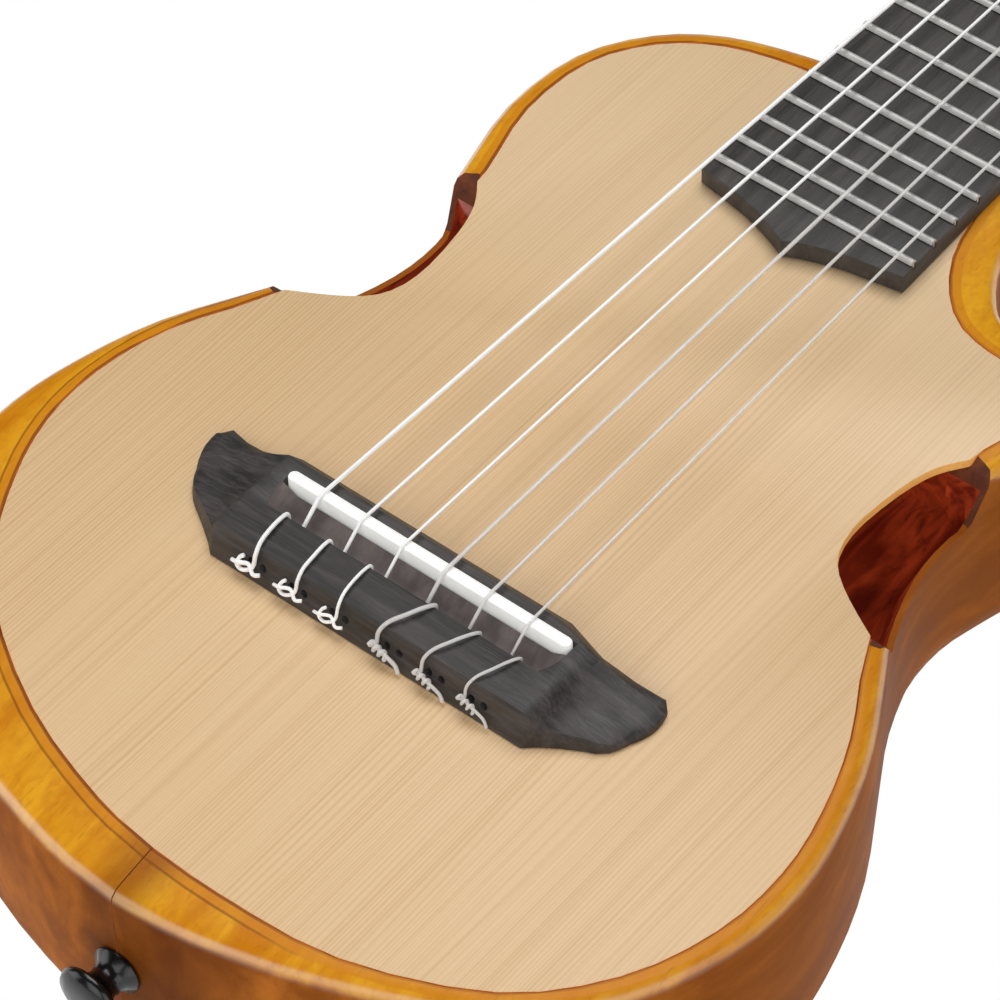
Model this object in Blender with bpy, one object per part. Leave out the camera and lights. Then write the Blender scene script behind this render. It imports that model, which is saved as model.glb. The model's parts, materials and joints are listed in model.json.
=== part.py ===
"""Six-string guitalele: a carved two-half body with a waist port on each side, a spruce
soundboard, a bolt-on style neck with a solid head, twenty frets, nylon strings tied at the
bridge, and geared tuning machines. Lengths below are millimetres; the mesh is in metres.

Axes while modelling: X to the treble side, Y from the saddle to the head, Z out of the
soundboard, whose top is Z 0. One empty then sets the whole object down on its flat back.
"""
import math

import bmesh
import bpy
from mathutils import Matrix, Vector

MM = 0.001

# Strings and scale
SCALE_LENGTH = 433.0
FRET_COUNT = 20
SADDLE_SPREAD = 57.6
NUT_SPREAD = 38.4
STRING_Z_SADDLE = 10.9
STRING_Z_NUT = 7.2
STRING_RADII = (0.36, 0.42, 0.50, 0.38, 0.43, 0.50)
WOUND_FROM = 4
SEAT_GAP = 0.3
RUN_GAP = 0.3

# Body outline: distance from the centre line, height along the neck, width of the rim
# from the outer wall in to the soundboard on the bass side and on the treble side
BODY_DEPTH = 60.0
LOWER_RUN = (
    (0.0, -103.5, 13.4, 13.4), (20.0, -101.5, 14.3, 11.2), (50.0, -93.5, 16.2, 6.2),
    (81.0, -78.6, 19.5, 5.0), (99.6, -58.5, 19.6, 5.0), (108.6, -36.0, 17.0, 5.0),
    (110.3, -15.0, 12.6, 5.0), (107.0, 4.0, 8.5, 5.0), (99.9, 23.8, 5.8, 5.0),
    (88.4, 44.5, 5.2, 5.2),
    (80.2, 59.5, 5.0, 5.0), (74.8, 76.0, 5.0, 5.0), (73.9, 90.0, 5.4, 5.4),
    (76.7, 103.0, 6.6, 6.6),
)
UPPER_BASS_RUN = (
    (81.6, 126.0, 6.0), (79.5, 149.0, 5.6), (69.3, 166.0, 5.5), (54.8, 177.0, 6.0),
    (36.5, 183.5, 7.2), (20.0, 187.0, 9.6), (0.0, 188.0, 10.6),
)
UPPER_TREBLE_RUN = (
    (80.8, 120.0, 6.2), (77.0, 131.0, 6.8), (68.0, 138.0, 9.3), (56.0, 139.8, 10.4),
    (48.0, 143.0, 11.0), (40.5, 153.0, 10.7), (36.0, 167.0, 9.6), (32.6, 178.5, 8.4),
    (24.0, 185.6, 8.2), (12.0, 187.7, 9.6), (0.0, 188.0, 10.6),
)
WAIST_EDGE = (
    (82.2, 46.8), (76.0, 50.2), (69.6, 54.2), (64.6, 58.8), (62.0, 65.0), (61.4, 73.0),
    (62.6, 84.0), (64.4, 91.5), (66.6, 96.2), (69.8, 100.6),
)
WAIST_STEPS = 2
OUTLINE_STEPS = 3
WAIST_FROM = 46.0
WAIST_TO = 102.0
NECK_FACE_Y = 188.0

# Body section
SEAM_GAP = 0.3
RIM_FLAT = 1.15
RIM_ROUND = 3.8
BEVEL_SLOPE = 0.34
BACK_ROUND = 12.0
WALL = 5.0
BACK_THICK = 6.0
LEDGE = 4.0
LEDGE_DEEP = 11.0
TOP_THICK = 2.5
TOP_IN = 0.05
SEAT_OUT = 0.25
CHAMBER_TOP_BASS = 142.0
CHAMBER_TOP_TREBLE = 124.0
TAIL_BLOCK_Y = -90.0
THROAT_STEP = 6.0
PORT_DEPTH = 15.0
PORT_RAMP_TAIL = 13.0
PORT_RAMP_HEAD = 9.5
PORT_WALL = 1.5
PORT_FLARE = 11.0
PORT_MORE = 0.8
PORT_INNER_X = 50.0
PORT_PAST_TAIL = 1.5
PORT_PAST_HEAD = 0.6

# Neck and head
NECK_DEPTH = 15.0
HEEL_DEPTH = 46.0
HEEL_LENGTH = 34.0
BOARD_PAST_FRET = 4.5
BOARD_HALF_END = 28.6
BOARD_HALF_NUT = 21.8
BOARD_THICK = 5.3
# Bracket-shaped end: distance from the centre line, how far it runs on past the corners
BRACKET = ((20.3, 1.4), (14.3, 2.5), (9.5, 3.8), (4.3, 5.7), (1.5, 7.0))
BRACKET_TIP = 7.8
FRET_END_IN = 0.3
FRET_TANG = 1.2
FRET_TANG_HALF = 0.25
TENON_HALF = 12.0
TENON_START = 150.0
TENON_TOP = -6.6
TENON_BOTTOM = -44.0
NUT_THICK = 5.0
NUT_TOP = 8.0
HEAD_TILT = math.radians(10.0)
HEAD_PAST_NUT = 0.5
HEAD_START_Y = SCALE_LENGTH + NUT_THICK + HEAD_PAST_NUT
HEAD_START_Z = -0.5
HEAD_THICK = 14.0
HEAD_OUTLINE = (
    (BOARD_HALF_NUT - 0.2, -1.0), (BOARD_HALF_NUT + 1.2, 6.0), (31.5, 17.0), (34.5, 30.0), (34.0, 62.0), (35.5, 96.0),
    (36.0, 118.0), (31.0, 127.5), (16.0, 131.0), (0.0, 133.5),
)
OVERLAY_THICK = 2.0
OVERLAY_START = 4.6

# Tuning machines
POST_X = 20.0
POST_STATIONS = (30.0, 65.0, 100.0)
POST_R = 3.0
POST_TOP = 15.0
BUSH_R = 4.8
BUSH_FLANGE_R = 6.4
BUSH_FLANGE = 1.2
BUSH_LENGTH = 8.0
PLATE_THICK = 1.2
GEAR_TEETH = 14
GEAR_R = 5.25
WORM_R = 2.9
TOOTH_HALF = 0.45
MESH_GAP = 0.45
GEAR_THICK = 3.0
GEAR_Z = -19.6
SHAFT_R = 2.0
WORM_HALF = 4.6
LUG_THICK = 1.5
PLATE_IN_X = 11.5
PLATE_OUT_X = 30.5
BUTTON_X = 41.0
BUTTON_LONG = 15.0

# Bridge: each station gives x of the rear edge and of the front edge, y of both, then the
# heights of the rear edge, of the tie line, of the crest behind the front and of the front
BRIDGE_TOP = 8.8
FRONT_Y = 8.0
CREST_Y = 3.6
REAR_Y = -23.3
REAR_LEAN = 2.8
BLOCK_STATION = (43.0, 43.0, REAR_Y, FRONT_Y, BRIDGE_TOP - 0.2, BRIDGE_TOP, BRIDGE_TOP, 3.2)
WING_STATIONS = (
    (60.6, 61.6, -9.2, 1.4, 1.3, 1.9, 1.9, 1.2), (58.4, 59.8, -13.4, 3.8, 2.4, 2.7, 2.8, 2.0),
    (54.0, 56.4, -15.8, 4.9, 3.5, 3.4, 3.9, 2.6), (49.4, 52.0, -18.4, 5.7, 4.2, 4.0, 5.4, 3.0),
    (45.4, 47.5, -21.2, 6.9, 4.8, 5.2, 7.2, 3.2),
)
TIE_SHARE = 0.3
SADDLE_HALF = 39.0
SADDLE_THICK = 3.0
SADDLE_Y = -1.0
SADDLE_FLOOR = 3.4
TROUGH_FRONT = -2.7
TIE_FRONT = -10.2
TIE_REAR = -21.0
TIE_HOLE_Z = 4.5
TIE_HOLE_R = 1.0
TIE_PAIR = 3.4

# String coils on the posts, heights above the head's face
COIL_GAP = 0.5
COIL_TURNS = 2.25
COIL_SIDES = 12
COIL_LOW = 6.6

# Strap button
STRAP_Z = -27.5
STRAP_FLANGE_R = 6.0
STRAP_DISC_R = 7.8
STRAP_OUT = 11.5
STRAP_CORE_R = 2.0
STRAP_CORE_IN = 9.0


def finish_table() -> dict:
    """Make one material per finish and return them by name."""
    table = {}
    rows = (
        ("body_wood", (0.62, 0.30, 0.07), 0.0, 0.25),
        ("spruce", (0.72, 0.52, 0.30), 0.0, 0.45),
        ("brace_wood", (0.70, 0.55, 0.36), 0.0, 0.6),
        ("neck_wood", (0.30, 0.14, 0.06), 0.0, 0.4),
        ("dark_wood", (0.035, 0.03, 0.028), 0.0, 0.5),
        ("fret_metal", (0.75, 0.74, 0.72), 1.0, 0.25),
        ("bone", (0.88, 0.87, 0.83), 0.0, 0.35),
        ("nylon", (0.85, 0.84, 0.80), 0.0, 0.3),
        ("wound_string", (0.80, 0.79, 0.77), 1.0, 0.3),
        ("black_metal", (0.02, 0.02, 0.02), 1.0, 0.3),
        ("black_gloss", (0.012, 0.012, 0.012), 0.0, 0.2),
    )
    for name, colour, metallic, rough in rows:
        material = bpy.data.materials.new(name)
        material.use_nodes = True
        shader = material.node_tree.nodes["Principled BSDF"]
        shader.inputs["Base Color"].default_value = (*colour, 1.0)
        shader.inputs["Metallic"].default_value = metallic
        shader.inputs["Roughness"].default_value = rough
        table[name] = material
    return table


def loft(rings: list) -> bmesh.types.BMesh:
    """Skin closed rings of equal length, in order, and cap both ends."""
    mesh = bmesh.new()
    rows = [[mesh.verts.new(point) for point in ring] for ring in rings]
    count = len(rings[0])
    for low, high in zip(rows, rows[1:]):
        for i in range(count):
            j = (i + 1) % count
            mesh.faces.new((low[i], low[j], high[j], high[i]))
    mesh.faces.new(list(reversed(rows[0])))
    mesh.faces.new(rows[-1])
    mesh.normal_update()
    bmesh.ops.triangulate(mesh, faces=mesh.faces[:])
    bmesh.ops.recalc_face_normals(mesh, faces=mesh.faces[:])
    if mesh.calc_volume(signed=True) < 0.0:
        bmesh.ops.reverse_faces(mesh, faces=mesh.faces[:])
    return mesh


def prism(outline: list, low: float, high: float) -> bmesh.types.BMesh:
    """Straight solid on a plan outline between two heights."""
    return loft([[Vector((x, y, z)) for x, y in outline] for z in (low, high)])


def box(low: tuple, high: tuple) -> bmesh.types.BMesh:
    """Rectangular block between two corners."""
    outline = [(low[0], low[1]), (high[0], low[1]), (high[0], high[1]), (low[0], high[1])]
    return prism(outline, low[2], high[2])


def turned(profile: list, sides: int, place: Matrix) -> bmesh.types.BMesh:
    """Solid of revolution about its own Z from (radius, height) pairs, then placed."""
    rings = []
    for radius, height in profile:
        ring = []
        for i in range(sides):
            angle = math.tau * i / sides
            ring.append(Vector((radius * math.cos(angle), radius * math.sin(angle), height)))
        rings.append([place @ point for point in ring])
    return loft(rings)


def joined(parts: list) -> bmesh.types.BMesh:
    """Put several separate closed shells into one mesh."""
    whole = bmesh.new()
    for part in parts:
        data = bpy.data.meshes.new("shell")
        part.to_mesh(data)
        part.free()
        whole.from_mesh(data)
        bpy.data.meshes.remove(data)
    return whole


def moved(part: bmesh.types.BMesh, place: Matrix) -> bmesh.types.BMesh:
    """Turn and shift a mesh."""
    bmesh.ops.transform(part, matrix=place, verts=part.verts[:])
    return part


class Builder:
    """Keeps the scene's objects: solids with a material, and hidden cutters for fitting."""

    def __init__(self) -> None:
        self.finishes = finish_table()
        self.rest = bpy.data.objects.new("rest_frame", None)
        bpy.context.scene.collection.objects.link(self.rest)

    def add(self, name: str, mesh: bmesh.types.BMesh, finish: str, smooth: bool = False):
        """Make a named solid from a mesh in millimetres."""
        bmesh.ops.scale(mesh, vec=(MM, MM, MM), verts=mesh.verts[:])
        data = bpy.data.meshes.new(name)
        mesh.to_mesh(data)
        mesh.free()
        for face in data.polygons:
            face.use_smooth = smooth
        data.materials.append(self.finishes[finish])
        obj = bpy.data.objects.new(name, data)
        bpy.context.scene.collection.objects.link(obj)
        obj.parent = self.rest
        return obj

    def fit(self, obj, mesh: bmesh.types.BMesh, label: str, mode: str = "DIFFERENCE") -> None:
        """Cut a mesh out of a solid, or weld it on."""
        tool = self.add(f"{obj.name}_{label}", mesh, "dark_wood")
        tool.hide_render = True
        tool.display_type = "WIRE"
        step = obj.modifiers.new(label, "BOOLEAN")
        step.operation = mode
        step.solver = "EXACT"
        step.object = tool

    def pivot(self, obj, point: Vector) -> None:
        """Move an object's origin to a point without moving its mesh."""
        shift = point * MM
        for vertex in obj.data.vertices:
            vertex.co -= shift
        obj.location = shift


def curve_through(points: list, steps: int) -> list:
    """Smooth curve through rows of numbers, a few places per stretch, with both ends kept."""
    rows = [Vector(row) for row in points]
    padded = [rows[0] * 2 - rows[1]] + rows + [rows[-1] * 2 - rows[-2]]
    run = []
    for a, b, c, d in zip(padded, padded[1:], padded[2:], padded[3:]):
        for k in range(steps):
            t = k / steps
            run.append(0.5 * (2 * b + (c - a) * t + (2 * a - 5 * b + 4 * c - d) * t * t
                              + (3 * b - a - 3 * c + d) * t ** 3))
    run.append(rows[-1])
    return run


class Outline:
    """Half the body's plan: the outer wall and the rim's width at each point of it."""

    def __init__(self, treble: bool) -> None:
        rim = 3 if treble else 2
        lower = [(row[0], row[1], row[rim]) for row in LOWER_RUN]
        upper = UPPER_TREBLE_RUN if treble else UPPER_BASS_RUN
        self.run = curve_through(lower + list(upper), OUTLINE_STEPS)
        self.side = 1.0 if treble else -1.0
        self.chamber_top = CHAMBER_TOP_TREBLE if treble else CHAMBER_TOP_BASS
        self.inward = []
        last = len(self.run) - 1
        for i in range(last + 1):
            if i in (0, last):
                self.inward.append(Vector((0.0, 1.0 if i == 0 else -1.0)))
                continue
            step = self.run[i + 1] - self.run[i - 1]
            self.inward.append(Vector((-step.y, step.x)).normalized())
        self.room = self.rounding_room()

    def rounding_room(self) -> list:
        """Back rounding at each point, less where the wall turns too tightly to hold it all."""
        rooms = []
        last = len(self.run) - 1
        for i in range(last + 1):
            a, b, c = (self.run[min(max(i + k, 0), last)].xy for k in (-2, 0, 2))
            twist = (b - a).cross(c - b)
            sides = (b - a).length * (c - b).length * (c - a).length
            tight = twist > 0.01 * sides / BACK_ROUND and 0 < i < last
            rooms.append(min(BACK_ROUND, 0.62 * sides / (2 * twist)) if tight else BACK_ROUND)
        least = [min(rooms[max(i - 2, 0):i + 3]) for i in range(last + 1)]
        return [sum(least[max(i - 2, 0):i + 3]) / len(least[max(i - 2, 0):i + 3])
                for i in range(last + 1)]

    def offset(self, widths: list) -> list:
        """The wall moved inward by one width per point, as (x, y) on the positive side."""
        run = []
        for point, way, width in zip(self.run, self.inward, widths):
            run.append((max(point.x + way.x * width, 0.0), point.y + way.y * width))
        return run

    def back_ring(self, share: float) -> list:
        """Wall moved inward by a share of the back rounding, one place per outline point."""
        run = self.offset([share * room for room in self.room])
        return [(self.side * max(x, SEAM_GAP / 2), y) for x, y in run]

    def rings(self) -> list:
        """Rings of the outer shape, back to front: back rounding, wall, bevel, rim."""
        rings = []
        for k in range(4):
            angle = math.pi / 2 * k / 3
            level = -BODY_DEPTH + BACK_ROUND * (1 - math.cos(angle))
            rings.append([Vector((x, y, level)) for x, y in self.back_ring(1 - math.sin(angle))])
        widths = [row.z for row in self.run]
        drops = [BEVEL_SLOPE * max(w - 5.0, 0.0) * min(1.0, 8.0 / max(w, 8.0)) for w in widths]
        for k in range(4):
            angle = math.pi / 2 * k / 3
            insets = [RIM_ROUND * (1 - math.cos(angle))] * len(widths)
            run = self.offset(insets)
            rings.append([
                Vector((self.side * max(x, SEAM_GAP / 2), y,
                        -drop - RIM_ROUND * (1 - math.sin(angle))))
                for (x, y), drop in zip(run, drops)
            ])
        run = self.offset([w - RIM_FLAT for w in widths])
        rings.append([Vector((self.side * max(x, SEAM_GAP / 2), y, 0.0)) for x, y in run])
        return rings

    def board_edge(self, gap: float) -> list:
        """Soundboard edge on the positive side, grown outward by a gap."""
        run = self.offset([row.z - gap for row in self.run])
        lower = [p for p, row in zip(run, self.run) if row.y < WAIST_FROM - 4.0]
        upper = [p for p, row in zip(run, self.run) if row.y > WAIST_TO]
        waist = [(row.x + gap, row.y) for row in curve_through(WAIST_EDGE, WAIST_STEPS)]
        return lower + waist + upper

    def chamber(self, extra: float, follow_rim: bool) -> list:
        """Hollow's plan inside the wall or inside the rim, squared off at both blocks."""
        widths = [(row.z if follow_rim else 0.0) + extra for row in self.run]
        run = self.offset(widths)
        low = TAIL_BLOCK_Y + (THROAT_STEP if follow_rim else 0.0)
        inner = [(x, y) for x, y in run[1:-1] if low < y < self.chamber_top]
        corners = [(-4.0, low), (inner[0][0] - 1.5, low)], [(inner[-1][0] - 1.5, self.chamber_top),
                                                           (-4.0, self.chamber_top)]
        return [(self.side * x, y) for x, y in corners[0] + inner + corners[1]]


def port_pocket(plan: Outline) -> bmesh.types.BMesh:
    """Solid that thins the wall at the waist: thin at its top edge, full further down."""
    rings = []
    for width, level in ((WALL + PORT_MORE, -PORT_DEPTH - PORT_FLARE),
                         (PORT_WALL, -PORT_DEPTH), (PORT_WALL, 4.0)):
        run = plan.offset([width] * len(plan.run))
        kept = [run[i] for i, row in enumerate(plan.run) if WAIST_FROM < row.y < WAIST_TO]
        ends = [(PORT_INNER_X, kept[0][1]), (PORT_INNER_X, kept[-1][1])]
        rings.append([Vector((plan.side * x, y, level)) for x, y in [ends[0]] + kept + [ends[1]]])
    return loft(rings)


def port_cutter(side: float) -> bmesh.types.BMesh:
    """Solid that opens the waist: the wall's top dips in a smooth curve between two ramps."""
    start = WAIST_FROM - PORT_PAST_TAIL
    end = WAIST_TO + PORT_PAST_HEAD

    def dip(y: float) -> float:
        down = min(max((y - start) / PORT_RAMP_TAIL, 0.0), 1.0)
        up = min(max((end - y) / PORT_RAMP_HEAD, 0.0), 1.0)
        return -PORT_DEPTH * (3 - 2 * down) * down ** 2 * (3 - 2 * up) * up ** 2

    steps = 24
    floor = [(start + (end - start) * i / steps) for i in range(steps + 1)]
    profile = [(y, dip(y) - 0.02) for y in floor] + [(end, 5.0), (start, 5.0)]
    rings = [[Vector((side * x, y, z)) for y, z in profile] for x in (PORT_INNER_X, 95.0)]
    return loft(rings)


def build_body(make: Builder) -> None:
    """Two carved halves with the soundboard's seat, the hollow, the ports and the mortise."""
    for name, treble in (("body_half_bass", False), ("body_half_treble", True)):
        plan = Outline(treble)
        half = make.add(name, loft(plan.rings()), "body_wood", smooth=True)
        seat = [(-4.0, plan.board_edge(SEAT_OUT)[0][1])] + plan.board_edge(SEAT_OUT)[1:-1]
        seat += [(-4.0, plan.board_edge(SEAT_OUT)[-1][1])]
        seat = [(plan.side * x, y) for x, y in seat]
        make.fit(half, prism(seat, -TOP_THICK - SEAT_GAP, 6.0), "seat")
        hollow = plan.chamber(WALL, False)
        floor = -BODY_DEPTH + BACK_THICK
        make.fit(half, prism(hollow, floor, -TOP_THICK - LEDGE_DEEP), "hollow")
        throat = plan.chamber(LEDGE, True)
        make.fit(half, prism(throat, floor + 20.0, -1.0), "throat")
        make.fit(half, port_pocket(plan), "pocket")
        make.fit(half, port_cutter(plan.side), "port")
        reach = TENON_HALF + SEAT_GAP
        mortise = box((-reach, TENON_START - SEAT_GAP, TENON_BOTTOM - SEAT_GAP),
                      (reach, NECK_FACE_Y + 9.0, TENON_TOP + SEAT_GAP))
        make.fit(half, mortise, "mortise")
        turn = Matrix.Translation((0.0, TAIL_BLOCK_Y - 2.0, STRAP_Z)) @ Matrix.Rotation(
            math.pi / 2, 4, "X")
        core = turned([(STRAP_CORE_R + SEAT_GAP, -STRAP_CORE_IN), (STRAP_CORE_R + SEAT_GAP, 20.0)],
                      12, turn)
        make.fit(half, core, "screw_hole")


def board_outline() -> list:
    """Whole soundboard plan, bass side then treble side, clear of its seat."""
    treble = Outline(True).board_edge(-TOP_IN)
    bass = Outline(False).board_edge(-TOP_IN)
    return treble + [(-x, y) for x, y in reversed(bass)][1:-1]


def build_top(make: Builder) -> None:
    """Soundboard, its two cross braces and the plate under the bridge."""
    outline = board_outline()
    make.add("soundboard", prism(outline, -TOP_THICK, 0.0), "spruce")
    under = -TOP_THICK - SEAT_GAP
    for name, y, reach, deep in (("brace_upper", 108.0, 54.0, 9.0), ("brace_lower", 44.0, 62.0, 8.0)):
        profile = [(-reach, under), (-reach, under - 2.5), (-reach + 16.0, under - deep),
                   (reach - 16.0, under - deep), (reach, under - 2.5), (reach, under)]
        rings = [[Vector((x, y + dy, z)) for x, z in profile] for dy in (-3.0, 3.0)]
        make.add(name, loft(rings), "brace_wood")
    make.add("bridge_plate", box((-58.0, -26.0, under - 2.5), (58.0, 10.0, under)), "brace_wood")


def string_x(index: int, spread: float) -> float:
    """Distance of a string from the centre line: string 1 is the highest, on the treble side."""
    return spread / 2 - spread * index / 5


def bridge_ring(station: tuple, side: float) -> list:
    """Section of the bridge on one side: its rear edge and front edge may lie at unlike x."""
    rear_x, front_x, rear_y, front_y, rear_z, tie_z, crest_z, nose_z = station
    tie_x = rear_x + (front_x - rear_x) * TIE_SHARE
    points = (
        (rear_x, rear_y, SEAT_GAP), (front_x, front_y, SEAT_GAP), (front_x, front_y, nose_z),
        (front_x, CREST_Y * front_y / FRONT_Y, crest_z), (tie_x, TIE_FRONT * rear_y / REAR_Y, tie_z),
        (rear_x, rear_y + REAR_LEAN * rear_z / BRIDGE_TOP, rear_z),
    )
    return [Vector((side * x, y, z)) for x, y, z in points]


def build_bridge(make: Builder) -> None:
    """Bridge with scooped wings, saddle slot, trough and tie block, and its saddle."""
    rings = [bridge_ring(station, -1.0) for station in WING_STATIONS]
    rings += [bridge_ring(BLOCK_STATION, side) for side in (-1.0, 1.0)]
    rings += [bridge_ring(station, 1.0) for station in reversed(WING_STATIONS)]
    bridge = make.add("bridge", loft(rings), "dark_wood")
    slot_half = SADDLE_THICK / 2 + SEAT_GAP
    reach = SADDLE_HALF + SEAT_GAP
    slot = box((-reach, SADDLE_Y - slot_half, SADDLE_FLOOR),
               (reach, SADDLE_Y + slot_half, BRIDGE_TOP + 4.0))
    make.fit(bridge, slot, "slot")
    rings = []
    for y, floor, half in ((TROUGH_FRONT, 6.4, 38.6), (-5.6, 3.9, 38.4), (-7.6, 3.1, 37.8),
                           (TIE_FRONT, 2.8, 36.6)):
        rings.append([Vector((x, y, z)) for x, z in (
            (-half - 1.4, BRIDGE_TOP + 3.0), (-half - 0.6, BRIDGE_TOP - 0.6),
            (-half + 1.0, floor + 1.2), (-half + 3.4, floor), (half - 3.4, floor),
            (half - 1.0, floor + 1.2), (half + 0.6, BRIDGE_TOP - 0.6),
            (half + 1.4, BRIDGE_TOP + 3.0))])
    make.fit(bridge, loft(rings), "trough")
    holes = []
    for index in range(6):
        for x in (string_x(index, SADDLE_SPREAD), string_x(index, SADDLE_SPREAD) + tie_shift(index)):
            turn = Matrix.Translation((x, TIE_FRONT + 1.0, TIE_HOLE_Z)) @ Matrix.Rotation(
                math.pi / 2, 4, "X")
            holes.append(turned([(TIE_HOLE_R, 0.0), (TIE_HOLE_R, 14.0)], 8, turn))
    make.fit(bridge, joined(holes), "tie_holes")
    outline = []
    for k in range(7):
        angle = -math.pi / 2 + math.pi * k / 6
        outline.append((SADDLE_HALF - SADDLE_THICK / 2 + SADDLE_THICK / 2 * math.cos(angle),
                        SADDLE_Y + SADDLE_THICK / 2 * math.sin(angle)))
    outline += [(-x, y) for x, y in reversed(outline)]
    make.add("saddle", prism(outline, SADDLE_FLOOR + SEAT_GAP,
                             STRING_Z_SADDLE - max(STRING_RADII) - SEAT_GAP), "bone")


def tie_shift(index: int) -> float:
    """Which way, and how far, a string's loop stands from it on the tie block."""
    return TIE_PAIR if index < WOUND_FROM - 1 else -TIE_PAIR


def board_half(y: float) -> float:
    """Half width of the fingerboard at a height along the neck."""
    end = fret_y(FRET_COUNT) - BOARD_PAST_FRET
    share = (y - end) / (SCALE_LENGTH - end)
    return BOARD_HALF_END + (BOARD_HALF_NUT - BOARD_HALF_END) * share


def fret_y(number: int) -> float:
    """Distance of a fret from the saddle by the twelfth root of two."""
    return SCALE_LENGTH * 2 ** (-number / 12)


HEAD_PLACE = Matrix.Translation((0.0, HEAD_START_Y, HEAD_START_Z)) @ Matrix.Rotation(
    -HEAD_TILT, 4, "X")


def build_neck(make: Builder) -> None:
    """Neck with heel, tenon and tilted solid head, its face veneer, fingerboard and frets."""
    rings = []
    start = NECK_FACE_Y + SEAT_GAP
    stations = (0.0, 4.0, 9.0, 15.0, 22.0, HEEL_LENGTH, 90.0, 200.0, SCALE_LENGTH + 8.5 - start)
    for along in stations:
        y = start + along
        heel = max(0.0, 1.0 - along / HEEL_LENGTH)
        deep = NECK_DEPTH + (HEEL_DEPTH - NECK_DEPTH) * heel ** 1.7
        half = board_half(y) - 0.2
        full = 2.0 + 1.6 * heel
        ring = []
        for k in range(13):
            angle = math.pi * k / 12
            x = -half * math.copysign(abs(math.cos(angle)) ** (2 / full), math.cos(angle))
            ring.append(Vector((x, y, -deep * math.sin(angle) ** (2 / full))))
        rings.append(ring)
    neck = make.add("neck", loft(rings), "neck_wood", smooth=True)
    tenon = box((-TENON_HALF, TENON_START, TENON_BOTTOM), (TENON_HALF, start + 6.0, TENON_TOP))
    make.fit(neck, tenon, "tenon", "UNION")
    right = [tuple(row)[:2] for row in curve_through([(x, y) for x, y in HEAD_OUTLINE], 2)]
    outline = right + [(-x, y) for x, y in reversed(right[:-1])]
    head = moved(prism(outline, -HEAD_THICK, 0.0), HEAD_PLACE)
    make.fit(neck, head, "head", "UNION")
    make.fit(neck, joined(post_bores(BUSH_R + SEAT_GAP, 8.0)), "post_bores")
    face = [(x * 0.995, y) for x, y in outline if y > OVERLAY_START]
    edge = BOARD_HALF_NUT + 0.4
    face = [(edge, OVERLAY_START)] + face + [(-edge, OVERLAY_START)]
    veneer = moved(prism(face, SEAT_GAP, SEAT_GAP + OVERLAY_THICK), HEAD_PLACE)
    overlay = make.add("headstock_overlay", veneer, "dark_wood")
    make.fit(overlay, joined(post_bores(BUSH_R + SEAT_GAP, 8.0)), "post_bores")
    build_board(make)


def post_bores(radius: float, above: float) -> list:
    """Cutters for the six post holes through the head."""
    return [turned([(radius, -HEAD_THICK - 6.0), (radius, above)], 16, place)
            for place, _side in post_places()]


def build_board(make: Builder) -> None:
    """Fingerboard with its bracket-shaped end and fret slots, twenty frets and the nut."""
    top = SEAT_GAP + BOARD_THICK
    corner = fret_y(FRET_COUNT) - BOARD_PAST_FRET
    end = [(BOARD_HALF_END, corner)] + [(x, corner - past) for x, past in BRACKET]
    nut_y = SCALE_LENGTH - SEAT_GAP
    outline = [(BOARD_HALF_NUT, nut_y)] + end + [(0.0, corner - BRACKET_TIP)]
    outline += [(-x, y) for x, y in reversed(end)] + [(-BOARD_HALF_NUT, nut_y)]
    board = make.add("fingerboard", prism(outline, SEAT_GAP, top), "dark_wood")
    slots = []
    crown = [(-1.0, 0.0), (-0.85, 0.55), (-0.35, 0.95), (0.35, 0.95), (0.85, 0.55), (1.0, 0.0)]
    tang = [(FRET_TANG_HALF, 0.0), (FRET_TANG_HALF, -FRET_TANG), (-FRET_TANG_HALF, -FRET_TANG),
            (-FRET_TANG_HALF, 0.0)]
    slot = FRET_TANG_HALF + SEAT_GAP
    for number in range(1, FRET_COUNT + 1):
        y = fret_y(number)
        half = board_half(y) - FRET_END_IN
        profile = [Vector((0.0, y + dy, top + SEAT_GAP + dz)) for dy, dz in crown + tang]
        rings = [[point + Vector((x, 0.0, 0.0)) for point in profile] for x in (-half, half)]
        make.add(f"fret_{number:02d}", loft(rings), "fret_metal")
        reach = BOARD_HALF_END + 2.0
        slots.append(box((-reach, y - slot, top - FRET_TANG), (reach, y + slot, top + 3.0)))
    make.fit(board, joined(slots), "fret_slots")
    nut = make.add("nut", box((-BOARD_HALF_NUT, SCALE_LENGTH, SEAT_GAP),
                              (BOARD_HALF_NUT, SCALE_LENGTH + NUT_THICK, NUT_TOP)), "bone")
    grooves = []
    for index, radius in enumerate(STRING_RADII):
        x = string_x(index, NUT_SPREAD)
        reach = radius + SEAT_GAP
        grooves.append(box((x - reach, SCALE_LENGTH - 2.0, STRING_Z_NUT - 0.5 - reach),
                           (x + reach, SCALE_LENGTH + NUT_THICK + 2.0, NUT_TOP + 3.0)))
    make.fit(nut, joined(grooves), "grooves")


def post_places() -> list:
    """Placement of each string's tuning post, string 1 first, with its side of the head."""
    rows = []
    for index in range(6):
        side = 1.0 if index < 3 else -1.0
        station = POST_STATIONS[index] if index < 3 else POST_STATIONS[5 - index]
        rows.append((HEAD_PLACE @ Matrix.Translation((side * POST_X, station, 0.0)), side))
    return rows


def wave(phase: float) -> float:
    """Tooth shape shared by worm and gear: a rounded tooth once per turn of the phase."""
    return TOOTH_HALF * math.cos(phase)


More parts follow.
